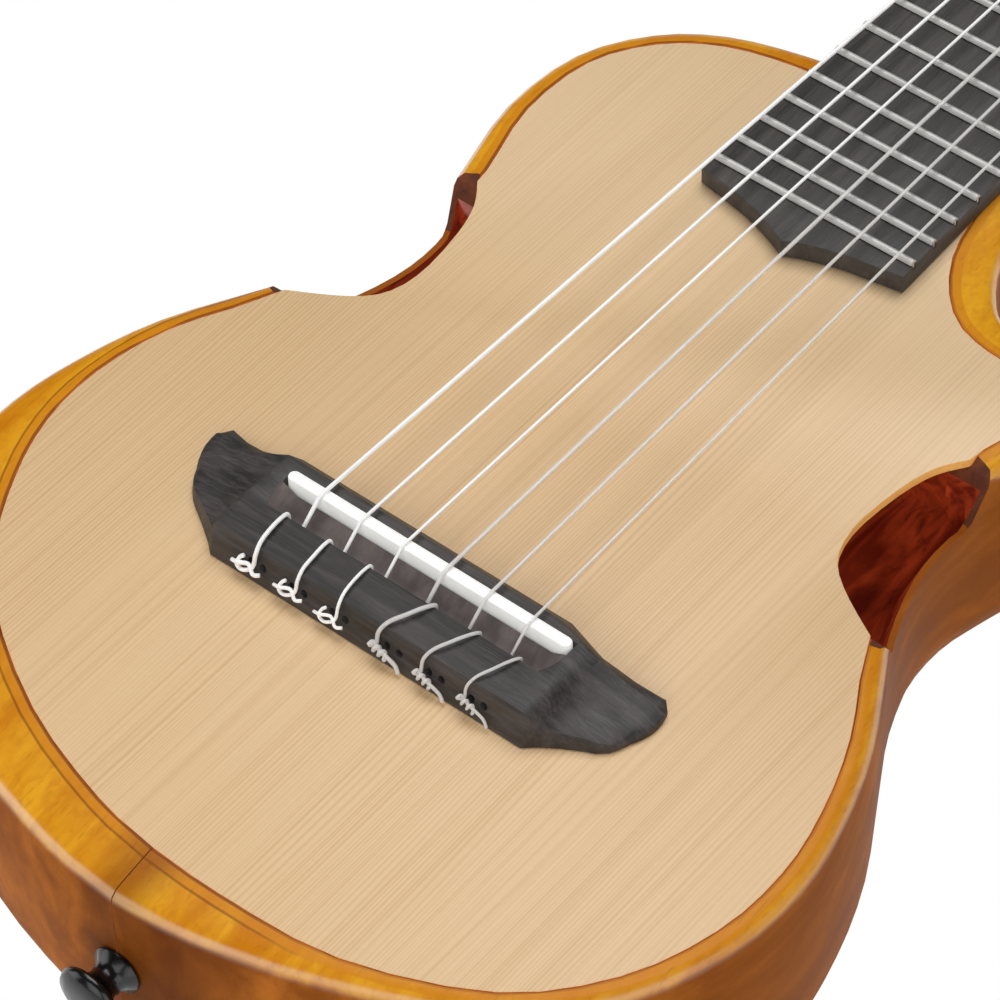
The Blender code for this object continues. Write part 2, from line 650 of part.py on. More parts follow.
def gear_mesh() -> bmesh.types.BMesh:
    """Gear disc whose rim radius follows angle and height, its teeth leaning with the worm."""
    rings = []
    steps = GEAR_TEETH * 6
    for height in (-GEAR_THICK / 2, GEAR_THICK / 2):
        ring = []
        for i in range(steps):
            angle = math.tau * i / steps
            radius = GEAR_R - wave(GEAR_TEETH * (angle + math.pi / 2) - height / WORM_R)
            ring.append(Vector((radius * math.cos(angle), radius * math.sin(angle),
                                GEAR_Z + height)))
        rings.append(ring)
    return loft(rings)


def key_mesh(side: float) -> bmesh.types.BMesh:
    """Worm, shaft and button in one turned piece along X, the worm centred on zero."""
    pitch = math.tau * GEAR_R / GEAR_TEETH
    sides = 12
    profile = [(-WORM_HALF - 3.4, SHAFT_R), (-WORM_HALF - 0.5, SHAFT_R)]
    threads = 22
    worm = [-WORM_HALF + 2 * WORM_HALF * k / threads for k in range(threads + 1)]
    outer = [(WORM_HALF + 0.5, SHAFT_R), (BUTTON_X - POST_X, SHAFT_R),
             (BUTTON_X - POST_X + 1.0, 3.2), (BUTTON_X - POST_X + 2.5, 3.2)]
    rings = []
    for s, radius in profile:
        rings.append(turned_ring(s, side, sides, lambda _angle, r=radius: (r, r)))
    for s in worm:
        def thread(angle: float, s=s) -> tuple:
            fade = min(1.0, (WORM_HALF - abs(s)) / 1.2)
            radius = WORM_R - TOOTH_HALF + fade * (wave(math.tau * side * s / pitch - angle) + TOOTH_HALF)
            return radius, radius
        rings.append(turned_ring(s, side, sides, thread))
    for s, radius in outer:
        rings.append(turned_ring(s, side, sides, lambda _angle, r=radius: (r, r)))
    start = BUTTON_X - POST_X + 3.0
    for k in range(6):
        t = k / 5
        swell = math.sin(math.pi * (0.14 + 0.80 * t)) ** 0.7
        rings.append(turned_ring(start + BUTTON_LONG * t, side, sides,
                                 lambda _angle, w=swell: (8.2 * w, 3.4 * (0.55 + 0.45 * w))))
    return loft(rings)


def turned_ring(s: float, side: float, sides: int, radii) -> list:
    """One ring about X at a distance outward from the post, given both half widths."""
    ring = []
    for i in range(sides):
        angle = math.tau * i / sides
        across, deep = radii(angle)
        ring.append(Vector((side * s, across * math.cos(angle), deep * math.sin(angle))))
    return ring


def build_machines(make: Builder) -> None:
    """Two back plates with bearing lugs, six bushings, six geared posts and six keys."""
    back = -HEAD_THICK - SEAT_GAP
    reach = GEAR_R + MESH_GAP + WORM_R
    for name, side in (("tuner_plate_bass", -1.0), ("tuner_plate_treble", 1.0)):
        xs = sorted((side * PLATE_IN_X, side * PLATE_OUT_X))
        sheet = box((xs[0], POST_STATIONS[0] - 15.0, back - PLATE_THICK),
                    (xs[1], POST_STATIONS[2] + 10.0, back))
        plate = make.add(name, moved(sheet, HEAD_PLACE), "black_metal")
        lugs, bores = [], []
        for station in POST_STATIONS:
            for offset in (-WORM_HALF - 0.9 - LUG_THICK, WORM_HALF + 0.9):
                lug_x = sorted((side * (POST_X + offset), side * (POST_X + offset + LUG_THICK)))
                lugs.append(box((lug_x[0], station - reach - 3.4, GEAR_Z - 3.0),
                                (lug_x[1], station - reach + 3.4, back - PLATE_THICK / 2)))
            centre = Matrix.Translation((side * POST_X, station - reach, GEAR_Z))
            bores.append(turned([(SHAFT_R + RUN_GAP, -14.0), (SHAFT_R + RUN_GAP, 14.0)], 16,
                                centre @ Matrix.Rotation(math.pi / 2, 4, "Y")))
            bores.append(turned([(POST_R + RUN_GAP, back - 2.0), (POST_R + RUN_GAP, back + 1.0)], 16,
                                Matrix.Translation((side * POST_X, station, 0.0))))
        make.fit(plate, moved(joined(lugs), HEAD_PLACE), "lugs", "UNION")
        make.fit(plate, moved(joined(bores), HEAD_PLACE), "bores")
    for index, (place, side) in enumerate(post_places(), start=1):
        top = SEAT_GAP + OVERLAY_THICK + SEAT_GAP
        inner = POST_R + RUN_GAP
        rings = []
        for radius, level in ((inner, top - BUSH_LENGTH), (BUSH_R, top - BUSH_LENGTH), (BUSH_R, top),
                              (BUSH_FLANGE_R, top), (BUSH_FLANGE_R, top + BUSH_FLANGE - 0.4),
                              (BUSH_FLANGE_R - 0.8, top + BUSH_FLANGE), (inner, top + BUSH_FLANGE)):
            rings.append((radius, level))
        make.add(f"post_bushing_{index}", moved(sleeve(rings, 16), place), "black_metal")
        post = make.add(f"tuner_post_{index}", moved(turned([
            (POST_R, GEAR_Z - 2.6), (POST_R, POST_TOP - 9.5), (POST_R - 0.25, POST_TOP - 8.5),
            (POST_R - 0.25, POST_TOP - 2.6), (POST_R + 0.4, POST_TOP - 1.4),
            (POST_R + 0.4, POST_TOP - 0.5), (POST_R - 0.3, POST_TOP)], 16,
            Matrix.Identity(4)), place), "black_metal")
        make.fit(post, moved(gear_mesh(), place), "gear", "UNION")
        make.pivot(post, place @ Vector((0.0, 0.0, GEAR_Z)))
        at = place @ Matrix.Translation((0.0, -reach, GEAR_Z))
        key = make.add(f"tuner_key_{index}", moved(key_mesh(side), at), "black_metal")
        make.pivot(key, at.translation)


def sleeve(profile: list, sides: int) -> bmesh.types.BMesh:
    """Turned piece with a hole through it: the (radius, height) pairs go round a closed loop."""
    mesh = bmesh.new()
    rows = []
    for radius, height in profile:
        rows.append([mesh.verts.new((radius * math.cos(math.tau * i / sides),
                                     radius * math.sin(math.tau * i / sides), height))
                     for i in range(sides)])
    for low, high in zip(rows, rows[1:] + rows[:1]):
        for i in range(sides):
            j = (i + 1) % sides
            mesh.faces.new((low[i], low[j], high[j], high[i]))
    bmesh.ops.recalc_face_normals(mesh, faces=mesh.faces[:])
    return mesh


def build_strap_button(make: Builder) -> None:
    """Flanged button on the tail with its screw's core in the seam."""
    wall = -LOWER_RUN[0][1] + SEAT_GAP
    profile = [
        (STRAP_CORE_R, wall - STRAP_CORE_IN), (STRAP_CORE_R, wall), (STRAP_FLANGE_R, wall),
        (STRAP_FLANGE_R, wall + 0.8), (4.2, wall + 2.2), (3.6, wall + 5.0), (4.6, wall + 7.0),
        (STRAP_DISC_R - 0.3, wall + 8.2), (STRAP_DISC_R, wall + 9.0),
        (STRAP_DISC_R - 0.6, wall + 10.2), (5.0, wall + STRAP_OUT - 0.3),
        (2.0, wall + STRAP_OUT),
    ]
    turn = Matrix.Translation((0.0, 0.0, STRAP_Z)) @ Matrix.Rotation(math.pi / 2, 4, "X")
    make.add("strap_button", turned(profile, 24, turn), "black_gloss", smooth=True)


def string_route(index: int) -> list:
    """Centre line of one string: loop at the tie block, saddle, nut, then up its post."""
    radius = STRING_RADII[index]
    x = string_x(index, SADDLE_SPREAD)
    loop_x = x + tie_shift(index)
    lean = math.copysign(1.0, tie_shift(index))
    over = BRIDGE_TOP + radius + SEAT_GAP
    rear = TIE_REAR - 1.9 - radius
    hole = TIE_HOLE_Z
    route = [
        (loop_x + lean * 3.2, rear - 1.6, 1.6 + radius), (loop_x + lean * 1.6, rear - 2.2, 2.4),
        (loop_x + lean * 0.2, rear - 2.3, 2.9), (loop_x - lean * 1.5, rear - 2.1, 4.2),
        (loop_x - lean * 1.2, rear - 1.6, 6.2), (loop_x, rear - 0.3, over - 1.2),
        (loop_x, rear + 1.2, over), (loop_x, TIE_FRONT - 1.0, over),
        (loop_x, TIE_FRONT + 0.6, over - 0.5), (loop_x, TIE_FRONT + 0.9, hole + 1.0),
        (loop_x, TIE_FRONT - 0.2, hole), (loop_x, rear + 1.0, hole),
        (loop_x - lean * 0.5, rear - 0.2, hole - 0.2), (x + lean * 0.5, rear - 0.2, hole - 0.2),
        (x, rear + 1.0, hole), (x, TIE_FRONT + 0.2, hole),
    ]
    lift = STRING_Z_SADDLE - hole
    run = SADDLE_Y - SADDLE_THICK / 2 - 0.4 - TIE_FRONT - 0.4
    route += [(x, TIE_FRONT + 0.4 + run * 0.96, hole + lift * 0.93), (x, SADDLE_Y, STRING_Z_SADDLE)]
    nut_x = string_x(index, NUT_SPREAD)
    route.append((nut_x, SCALE_LENGTH, STRING_Z_NUT))
    leave = Vector((nut_x, SCALE_LENGTH + NUT_THICK, STRING_Z_NUT - 0.3))
    route.append(tuple(leave))
    place, side = post_places()[index]
    start = place.inverted() @ leave
    turn = -side
    coil = POST_R + RUN_GAP + radius
    angle = math.atan2(start.y, start.x)
    angle += turn * math.acos(coil / math.hypot(start.x, start.y))
    rise = 2 * radius + COIL_GAP
    for k in range(int(COIL_TURNS * COIL_SIDES) + 1):
        at = angle + turn * math.tau * k / COIL_SIDES
        route.append(tuple(place @ Vector((coil * math.cos(at), coil * math.sin(at),
                                           COIL_LOW + rise * k / COIL_SIDES))))
    return route


def self_gap(route: list, radius: float) -> float:
    """Least free distance between two parts of one tube that are not neighbours along it."""
    points = []
    for a, b in zip(route, route[1:]):
        start, end = Vector(a), Vector(b)
        count = max(1, min(40, int((end - start).length / 0.25)))
        points += [start.lerp(end, k / count) for k in range(count)]
    lengths = [0.0]
    for a, b in zip(points, points[1:]):
        lengths.append(lengths[-1] + (b - a).length)
    least = 99.0
    for i in range(len(points)):
        for j in range(i + 1, len(points)):
            if lengths[j] - lengths[i] > 2.5 + 4.0 * radius:
                least = min(least, (points[i] - points[j]).length - 2 * radius)
    return least


def build_strings(make: Builder) -> None:
    """Six strings, each one tube from its loop at the bridge to its coil on the post."""
    for index, radius in enumerate(STRING_RADII):
        route = string_route(index)
        curve = bpy.data.curves.new(f"string_{index + 1}", "CURVE")
        curve.dimensions = "3D"
        curve.bevel_depth = radius * MM
        curve.bevel_resolution = 1
        curve.use_fill_caps = True
        spline = curve.splines.new("POLY")
        spline.points.add(len(route) - 1)
        for point, place in zip(spline.points, route):
            point.co = (*(value * MM for value in place), 1.0)
        finish = "wound_string" if index >= WOUND_FROM - 1 else "nylon"
        curve.materials.append(make.finishes[finish])
        obj = bpy.data.objects.new(f"string_{index + 1}", curve)
        bpy.context.scene.collection.objects.link(obj)
        obj.parent = make.rest
        print(f"string_{index + 1} least gap to itself {self_gap(route, radius):.2f} mm")


def main() -> None:
    """Build every piece in the modelling frame, then set the object on its back."""
    for obj in list(bpy.data.objects):
        bpy.data.objects.remove(obj, do_unlink=True)
    make = Builder()
    build_body(make)
    build_top(make)
    build_bridge(make)
    build_neck(make)
    build_machines(make)
    build_strap_button(make)
    build_strings(make)
    low = LOWER_RUN[0][1] - SEAT_GAP - STRAP_OUT
    tip = HEAD_PLACE @ Vector((0.0, HEAD_OUTLINE[-1][1], SEAT_GAP + OVERLAY_THICK))
    make.rest.location = Vector((0.0, -(low + tip.y) / 2, BODY_DEPTH)) * MM


main()
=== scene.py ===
"""Looks of the six-string guitalele: finishes, strings, rim lines, lights and camera.

Sizes are millimetres in the luthier's axes: X to the treble side, Y from the saddle towards
the head, Z out of the soundboard, whose top is Z 0. The Plan class turns them into the frame.
Inside a finish, lengths and places are the frame's metres, as a shader reads them.
"""

import json
import logging
import math
from collections.abc import Callable
from dataclasses import dataclass, field
from enum import Enum, IntEnum
from typing import Protocol

import bmesh
import bpy
from mathutils import Matrix, Vector


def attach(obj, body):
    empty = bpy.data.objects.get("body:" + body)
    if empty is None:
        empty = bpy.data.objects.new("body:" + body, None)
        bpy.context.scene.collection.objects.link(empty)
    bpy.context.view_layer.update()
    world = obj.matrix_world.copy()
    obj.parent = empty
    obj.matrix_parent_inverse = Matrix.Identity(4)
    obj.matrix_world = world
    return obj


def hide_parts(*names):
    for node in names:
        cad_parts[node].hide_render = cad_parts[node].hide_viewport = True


LOG = logging.getLogger("guitalele")
# One millimetre in the frame, how near a node's points are merged, the tie block's front, and
# the share of a face's normal that points up, below which the face counts as a wall.
MM = 0.001
WELD = 0.002
TIE_FRONT = -10.2
WALL_UP = 0.5

Colour = tuple[float, float, float, float]
Point = tuple[float, float, float]
Span = tuple[float, float]

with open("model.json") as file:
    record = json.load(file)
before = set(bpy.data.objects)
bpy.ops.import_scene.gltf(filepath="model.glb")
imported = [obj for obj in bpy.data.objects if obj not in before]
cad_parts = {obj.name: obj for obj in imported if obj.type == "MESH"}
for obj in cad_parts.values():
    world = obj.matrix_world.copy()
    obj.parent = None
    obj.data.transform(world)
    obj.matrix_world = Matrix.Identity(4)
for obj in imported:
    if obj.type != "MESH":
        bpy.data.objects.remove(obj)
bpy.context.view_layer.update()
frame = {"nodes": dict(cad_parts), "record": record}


class Grain(Enum):
    """Which way a dark wood's grain runs, as the scales of its fine and its coarse noise."""

    ACROSS = ((110.0, 1500.0, 900.0), (25.0, 260.0, 160.0))
    ALONG = ((1500.0, 90.0, 900.0), (260.0, 18.0, 160.0))


class HalfFace(IntEnum):
    """Material slots of a body half."""

    STAINED = 0
    HOLLOW = 1
    SEAT = 2
    CUT = 3
    SEAM = 4


class BoardFace(IntEnum):
    """Material slots of the soundboard."""

    TOP = 0
    BARE_EDGE = 1
    SEAT = 2


class BridgeFace(IntEnum):
    """Material slots of the bridge."""

    BLOCK = 0
    TROUGH = 1


class Knot(Enum):
    """How a string is tied behind the bridge."""

    COIL = "wound round itself"
    BOW = "a loose eye"


@dataclass(frozen=True)
class Plan:
    """Where the luthier's origin, the saddle's foot, lies in the frame."""

    shift_y: float = -227.5356
    depth: float = 60.0

    def place(self, x: float, y: float, z: float) -> Vector:
        """Frame position of a point in luthier's millimetres."""
        return Vector((x, y + self.shift_y, z + self.depth)) * MM

    def read(self, spot: Vector) -> Point:
        """Luthier's millimetres of a frame position."""
        return spot.x / MM, spot.y / MM - self.shift_y, spot.z / MM - self.depth


PLAN = Plan()


def linear(value: int) -> float:
    """Linear share of one eight-bit display value."""
    share = value / 255.0
    return share / 12.92 if share <= 0.04045 else ((share + 0.055) / 1.055) ** 2.4


def srgb(red: int, green: int, blue: int) -> Colour:
    """Linear colour of an eight-bit display colour."""
    return linear(red), linear(green), linear(blue), 1.0


def darker(colour: Colour, share: float) -> Colour:
    """Colour with only a share of its light."""
    return tuple(share * channel for channel in colour[:3]) + (1.0,)


class Value:
    """A number's socket in a shader tree, with arithmetic that adds Math nodes."""

    def __init__(self, graph: "Graph", socket: bpy.types.NodeSocket) -> None:
        """Keep the tree and the socket that the number comes from."""
        self.graph = graph
        self.socket = socket

    def _math(self, operation: str, *operands: "Value | float") -> "Value":
        """Add one Math node.

        Args:
            operation: Blender's name of the operation.
            operands: What goes in, in the node's order.

        Returns:
            The result.
        """
        node = self.graph.node("ShaderNodeMath", {"operation": operation},
                               dict(enumerate(operands)))
        return Value(self.graph, node.outputs[0])

    def __add__(self, other: "Value | float") -> "Value":
        """Sum."""
        return self._math("ADD", self, other)

    __radd__ = __add__

    def __sub__(self, other: "Value | float") -> "Value":
        """Difference."""
        return self._math("SUBTRACT", self, other)

    def __rsub__(self, other: float) -> "Value":
        """Difference from a number."""
        return self._math("SUBTRACT", other, self)

    def __mul__(self, other: "Value | float") -> "Value":
        """Product."""
        return self._math("MULTIPLY", self, other)

    __rmul__ = __mul__

    def __pow__(self, other: "Value | float") -> "Value":
        """Power."""
        return self._math("POWER", self, other)

    def __abs__(self) -> "Value":
        """Size without sign."""
        return self._math("ABSOLUTE", self)

    def wave(self) -> "Value":
        """Sine."""
        return self._math("SINE", self)

    def most(self, other: "Value | float") -> "Value":
        """The larger of two."""
        return self._math("MAXIMUM", self, other)

    def ramp(self, low: float, high: float) -> "Value":
        """Smooth step.

        Args:
            low: Input where the step starts, at 0.
            high: Input where it ends, at 1.

        Returns:
            A value between 0 and 1.
        """
        node = self.graph.node("ShaderNodeMapRange", {"interpolation_type": "SMOOTHSTEP"},
                               {0: self, 1: low, 2: high, 3: 0.0, 4: 1.0})
        return Value(self.graph, node.outputs[0])


class Graph:
    """A shader tree, with the one method that adds its nodes."""

    def __init__(self, owner: "bpy.types.Material | bpy.types.World") -> None:
        """Switch on the node tree of a material or a world, and keep both."""
        owner.use_nodes = True
        self.owner, self.tree = owner, owner.node_tree

    def feed(self, socket: bpy.types.NodeSocket, value: object) -> None:
        """Give an input its value.

        Args:
            socket: The input.
            value: Value or socket to link, or a number or colour to set.
        """
        if isinstance(value, Value):
            value = value.socket
        if isinstance(value, bpy.types.NodeSocket):
            self.tree.links.new(value, socket)
        else:
            socket.default_value = value

    def node(self, kind: str, settings: "dict | None" = None,
             inputs: "dict | None" = None) -> bpy.types.Node:
        """Add a node.

        Args:
            kind: Blender's node type.
            settings: Properties, which are set first.
            inputs: Numbers, colours, Values or sockets by socket name or index.

        Returns:
            The node.
        """
        made = self.tree.nodes.new(kind)
        for key, value in (settings or {}).items():
            setattr(made, key, value)
        for key, value in (inputs or {}).items():
            self.feed(made.inputs[key], value)
        return made


class Paint(Graph):
    """The shader tree of one finish, round its Principled shader."""

    def __init__(self, name: str) -> None:
        """Start a material whose Principled shader feeds its output.

        Args:
            name: The material's name.
        """
        super().__init__(bpy.data.materials.new(name))
        self.shader = self.tree.nodes["Principled BSDF"]
        self.coords = self.node("ShaderNodeTexCoord").outputs["Object"]

    def plan(self) -> tuple[Value, Value]:
        """Distances to the treble side and from the saddle towards the head, in metres."""
        x, y, _ = self.node("ShaderNodeSeparateXYZ", inputs={0: self.coords}).outputs
        return Value(self, x), Value(self, y) - PLAN.shift_y * MM

    def held(self, name: str) -> Value:
        """A number that the mesh holds at each vertex or corner."""
        made = self.node("ShaderNodeAttribute", {"attribute_name": name})
        return Value(self, made.outputs["Fac"])

    def glow(self, colour: object, strength: float) -> None:
        """Let a colour shine faintly by itself: painted light, as of light that bounces in a
        hollow.
        """
        self.feed(self.shader.inputs["Emission Color"], colour)
        self.feed(self.shader.inputs["Emission Strength"], strength)

    def dull(self, index: float, coat: float) -> None:
        """Set how strongly the finish and its clear coat mirror, as indices of refraction."""
        self.feed(self.shader.inputs["IOR"], index)
        self.feed(self.shader.inputs["Coat IOR"], coat)

    def noise(self, scale: Point, detail: float = 3.0, rough: float = 0.55,
              warp: float = 0.0) -> Value:
        """Fractal noise with its own scale on each axis.

        Args:
            scale: Features per metre on X, Y and Z.
            detail: Octaves.
            rough: How strong the finer octaves are.
            warp: Distortion.

        Returns:
            A value around 0.5.
        """
        stretched = self.node("ShaderNodeMapping", inputs={"Vector": self.coords, "Scale": scale})
        made = self.node("ShaderNodeTexNoise", inputs={
            "Vector": stretched.outputs[0], "Scale": 1.0, "Detail": detail,
            "Roughness": rough, "Distortion": warp})
        return Value(self, made.outputs["Fac"])

    def blend(self, share: "Value | float", low: object, high: object) -> bpy.types.NodeSocket:
        """Mix two colours.

        Args:
            share: 0 gives low, 1 gives high.
            low: Colour or colour socket.
            high: Colour or colour socket.

        Returns:
            The mixed colour's socket.
        """
        made = self.node("ShaderNodeMix", {"data_type": "RGBA"}, {0: share, 6: low, 7: high})
        return made.outputs[2]

    def bump(self, height: Value, relief: float, strength: float) -> None:
        """Feed a height pattern to the shader's Normal.

        Args:
            height: Pattern, 0 low and 1 high.
            relief: Millimetres between low and high.
            strength: How much of it shows.
        """
        made = self.node("ShaderNodeBump", inputs={"Height": height, "Distance": relief * MM,
                                                   "Strength": strength})
        self.feed(self.shader.inputs["Normal"], made.outputs[0])

    def finish(self, colour: object, rough: "Value | float", metallic: float = 0.0,
               coat: "Value | float" = 0.0, coat_rough: float = 0.1) -> bpy.types.Material:
        """Feed the shader.

        Args:
            colour: Colour or colour socket.
            rough: Roughness.
            metallic: Metallic.
            coat: Weight of the clear coat.
            coat_rough: Roughness of the clear coat.

        Returns:
            The material.
        """
        for name, value in (("Base Color", colour), ("Roughness", rough), ("Metallic", metallic),
                            ("Coat Weight", coat), ("Coat Roughness", coat_rough)):
            self.feed(self.shader.inputs[name], value)
        return self.owner


class Finish(Protocol):
    """Anything with a name that can make its own material."""

    name: str

    def build(self) -> bpy.types.Material:
        """Make the material."""


@dataclass(frozen=True)
class SpruceTop:
    """Straight-grained pale spruce under a satin coat, with growth rings along the neck."""

    name: str = "spruce_top_finish"
    pale: Colour = srgb(237, 202, 155)
    line: Colour = srgb(208, 164, 112)
    fleck: Colour = srgb(250, 226, 190)
    cloud: Colour = srgb(224, 186, 134)
    lit: Colour = srgb(252, 230, 194)
    ring_pitch: float = 0.95
    ring_sharpness: float = 2.6
    ring_sway: Span = (0.004, 0.009)
    lit_rise: Span = (0.040, 0.130)

    def build(self) -> bpy.types.Material:
        """Make the material.

        Returns:
            Spruce with rings, strands, flecks and a lighter end towards the neck.
        """
        g = Paint(self.name)
        x, y = g.plan()
        sway = g.noise((14.0, 3.0, 3.0), detail=2.0) * self.ring_sway[0]
        uneven = g.noise((70.0, 2.0, 2.0), detail=2.0) * self.ring_sway[1]
        phase = (x + sway + uneven) * (math.tau / (self.ring_pitch * MM))
        ring = (phase.wave() * 0.5 + 0.5) ** self.ring_sharpness
        strength = g.noise((60.0, 5.0, 6.0), detail=3.0).ramp(0.3, 0.75)
        fibre = g.noise((2600.0, 45.0, 60.0), detail=3.0)
        fleck = g.noise((500.0, 900.0, 300.0), detail=2.0).ramp(0.5, 0.8)
        strands = g.noise((1000.0, 5.0, 5.0), detail=3.0).ramp(0.45, 0.72)
        cloud = g.noise((9.0, 4.0, 4.0), detail=2.0).ramp(0.3, 0.7)
        lines = ring * (strength * 0.40 + 0.14) + strands * 0.28
        tone = g.blend(lines + fibre * 0.22, self.pale, self.line)
        tone = g.blend(fleck * 0.10, tone, self.fleck)
        tone = g.blend(cloud * 0.22, tone, self.cloud)
        # Painted light: the soundboard is lightened towards the neck.
        tone = g.blend(y.ramp(*self.lit_rise) * 0.3, tone, self.lit)
        g.bump(fibre * 0.5 + ring * 0.5, 0.05, 0.4)
        return g.finish(tone, 0.44 + fibre * 0.12, coat=0.12, coat_rough=0.3)


@dataclass(frozen=True)
class AmberWood:
    """Amber-stained wood: rim lines by the soundboard, bright bevel, brown sides, dark seam.

    The rim widths are millimetres from the soundboard's edge, as the mesh holds them. The
    other spans are metres in plan. The sides' darker brown is partly the wood's own tone and
    partly painted shade.
    """

    name: str = "amber_wood_finish"
    bright: Colour = srgb(240, 172, 36)
    deep: Colour = srgb(210, 128, 14)
    speck: Colour = srgb(190, 104, 12)
    # The sides' browns: partly the wood's own tone, partly painted shade.
    side: Colour = srgb(196, 114, 40)
    side_deep: Colour = srgb(146, 78, 20)
    stain: Colour = srgb(78, 34, 12)
    wedge: Colour = srgb(130, 60, 12)
    pore: Colour = srgb(84, 42, 14)
    # Pale tone of the painted highlight along the crest.
    wear_and_painted_highlight: Colour = srgb(250, 214, 176)
    rim_line: Colour = srgb(112, 56, 18)
    rim_band: Colour = srgb(216, 134, 26)

    line_end: Span = (0.55, 0.95)
    band_end: Span = (2.5, 3.0)
    second_line: float = 2.9
    second_half: Span = (0.12, 0.42)
    bass_end: Span = (0.020, 0.050)
    lower_end: Span = (0.040, 0.070)
    tail_end: Span = (-0.088, -0.070)
    flame_half: Span = (0.0015, 0.016)
    flame_sway: float = 0.020
    late_start: Span = (0.000, 0.002)
    late_end: Span = (0.012, 0.044)
    wedge_middle: float = 0.002
    wedge_half: Span = (0.0005, 0.012)

    def add_rim(self, g: Paint, tone: object, up: Value, bass: Value) -> bpy.types.NodeSocket:
        """Lay the band and the two lines beside the soundboard over the bevel's tone.

        Args:
            g: The finish's tree.
            tone: Tone of the bevel.
            up: How far the face looks up.
            bass: 1 on the bass side.

        Returns:
            The tone with its rim lines.
        """
        rim, flat = g.held("rim"), up.ramp(0.5, 0.9)
        tone = g.blend((1.0 - rim.ramp(*self.band_end)) * flat * 0.7, tone, self.rim_band)
        line = (1.0 - rim.ramp(*self.line_end)) * flat
        lower = 1.0 - g.plan()[1].ramp(*self.lower_end)
        second = (1.0 - abs(rim - self.second_line).ramp(*self.second_half)) * bass * lower * flat
        return g.blend((line * (bass * 0.45 + 0.35)).most(second * 0.62), tone, self.rim_line)

    def add_flames(self, g: Paint, tone: object, up: Value) -> bpy.types.NodeSocket:
        """Lay the dark figure round the tail's seam over the wood.

        Args:
            g: The finish's tree.
            tone: Tone of the wood.
            up: How far the face looks up.

        Returns:
            The tone with its dark flames.
        """
        x, y = g.plan()
        sway = (g.noise((30.0, 30.0, 60.0), detail=3.0) - 0.5) * self.flame_sway
        tail, sides = 1.0 - y.ramp(*self.tail_end), 1.0 - up.ramp(0.2, 0.6)
        flame = (1.0 - abs(x + sway).ramp(*self.flame_half)) * tail
        late = (x + sway * 0.5).ramp(*self.late_start) * (1.0 - x.ramp(*self.late_end)) * tail
        tone = g.blend((flame * sides * 0.5).most(late * sides * 0.62), tone, self.stain)
        off = abs(x - self.wedge_middle + sway * 0.5)
        wedge = (1.0 - off.ramp(*self.wedge_half)) * tail
        return g.blend(wedge * up.ramp(0.2, 0.6) * 0.6, tone, self.wedge)

    def build(self) -> bpy.types.Material:
        """Make the material.

        Returns:
            Amber on top, brown sides partly in painted shade, painted highlight on the edge
            between.
        """
        g = Paint(self.name)
        up = g.held("face_up")
        bass = 1.0 - g.plan()[0].ramp(*self.bass_end)
        streak = g.noise((95.0, 9.0, 60.0), detail=5.0, rough=0.6, warp=0.4)
        broad = g.noise((26.0, 7.0, 26.0), detail=3.0, warp=0.8)
        pores = g.noise((1500.0, 110.0, 1100.0), detail=2.0).ramp(0.60, 0.74)
        mottle = g.noise((420.0, 260.0, 420.0), detail=3.0, warp=0.6).ramp(0.42, 0.7)
        top = g.blend(streak.ramp(0.30, 0.66), self.deep, self.bright)
        top = g.blend(broad.ramp(0.4, 0.8) * 0.35, top, self.deep)
        top = self.add_rim(g, g.blend(mottle * 0.28, top, self.speck), up, bass)
        # Sides: a darker brown, partly the wood's own tone and partly painted shade.
        side = g.blend(streak.ramp(0.3, 0.75), self.side_deep, self.side)
        side = g.blend(broad.ramp(0.35, 0.75) * 0.4, side, self.side_deep)
        ragged = (streak - 0.5) * 0.5
        tone = g.blend((up + ragged).ramp(0.22, 0.55), side, top)
        tone = self.add_flames(g, tone, up)
        tone = g.blend(pores * 0.2, tone, self.pore)
        # Painted highlight: a pale band on the crest between top and sides, stronger on the bass
        # side.
        wear_and_painted_highlight = up.ramp(0.28, 0.58) * (1.0 - up.ramp(0.66, 0.88)) * (bass * 0.26 + 0.10)
        tone = g.blend(wear_and_painted_highlight, tone, self.wear_and_painted_highlight)
        g.bump(1.0 - pores, 0.10, 0.3)
        g.dull(1.12, 1.6)
        crest = up.ramp(0.12, 0.38) * (1.0 - up.ramp(0.78, 0.97))
        return g.finish(tone, 0.5 - up.ramp(0.2, 0.7) * 0.14 + streak * 0.1,
                        coat=crest + up.ramp(0.3, 0.7) * 0.12, coat_rough=0.28)


@dataclass(frozen=True)
class InnerWood:
    """Dark red-brown lacquered inside of the hollow, glowing faintly as painted light."""

    name: str = "inner_wood_finish"
    low: Colour = srgb(96, 24, 12)
    high: Colour = srgb(182, 70, 34)
    shade: Colour = srgb(64, 16, 9)
    knot: Colour = srgb(44, 12, 8)

    def build(self) -> bpy.types.Material:
        """Make the material.

        Returns:
            Streaked wood with dark knots.
        """
        g = Paint(self.name)
        streak = g.noise((150.0, 26.0, 130.0), detail=5.0, rough=0.6, warp=0.8)
        broad = g.noise((60.0, 45.0, 60.0), detail=4.0, warp=1.2)
        knots = g.noise((260.0, 120.0, 200.0), detail=3.0, warp=1.0).ramp(0.56, 0.72)
        tone = g.blend(streak.ramp(0.32, 0.68), self.low, self.high)
        tone = g.blend(broad.ramp(0.5, 0.75) * 0.6, tone, self.shade)
        tone = g.blend(knots * 0.55, tone, self.knot)
        # Painted light: a faint glow for the light bounced into the hollow.
        g.glow(tone, 0.3)
        return g.finish(tone, 0.26 + streak * 0.1, coat=0.7, coat_rough=0.12)


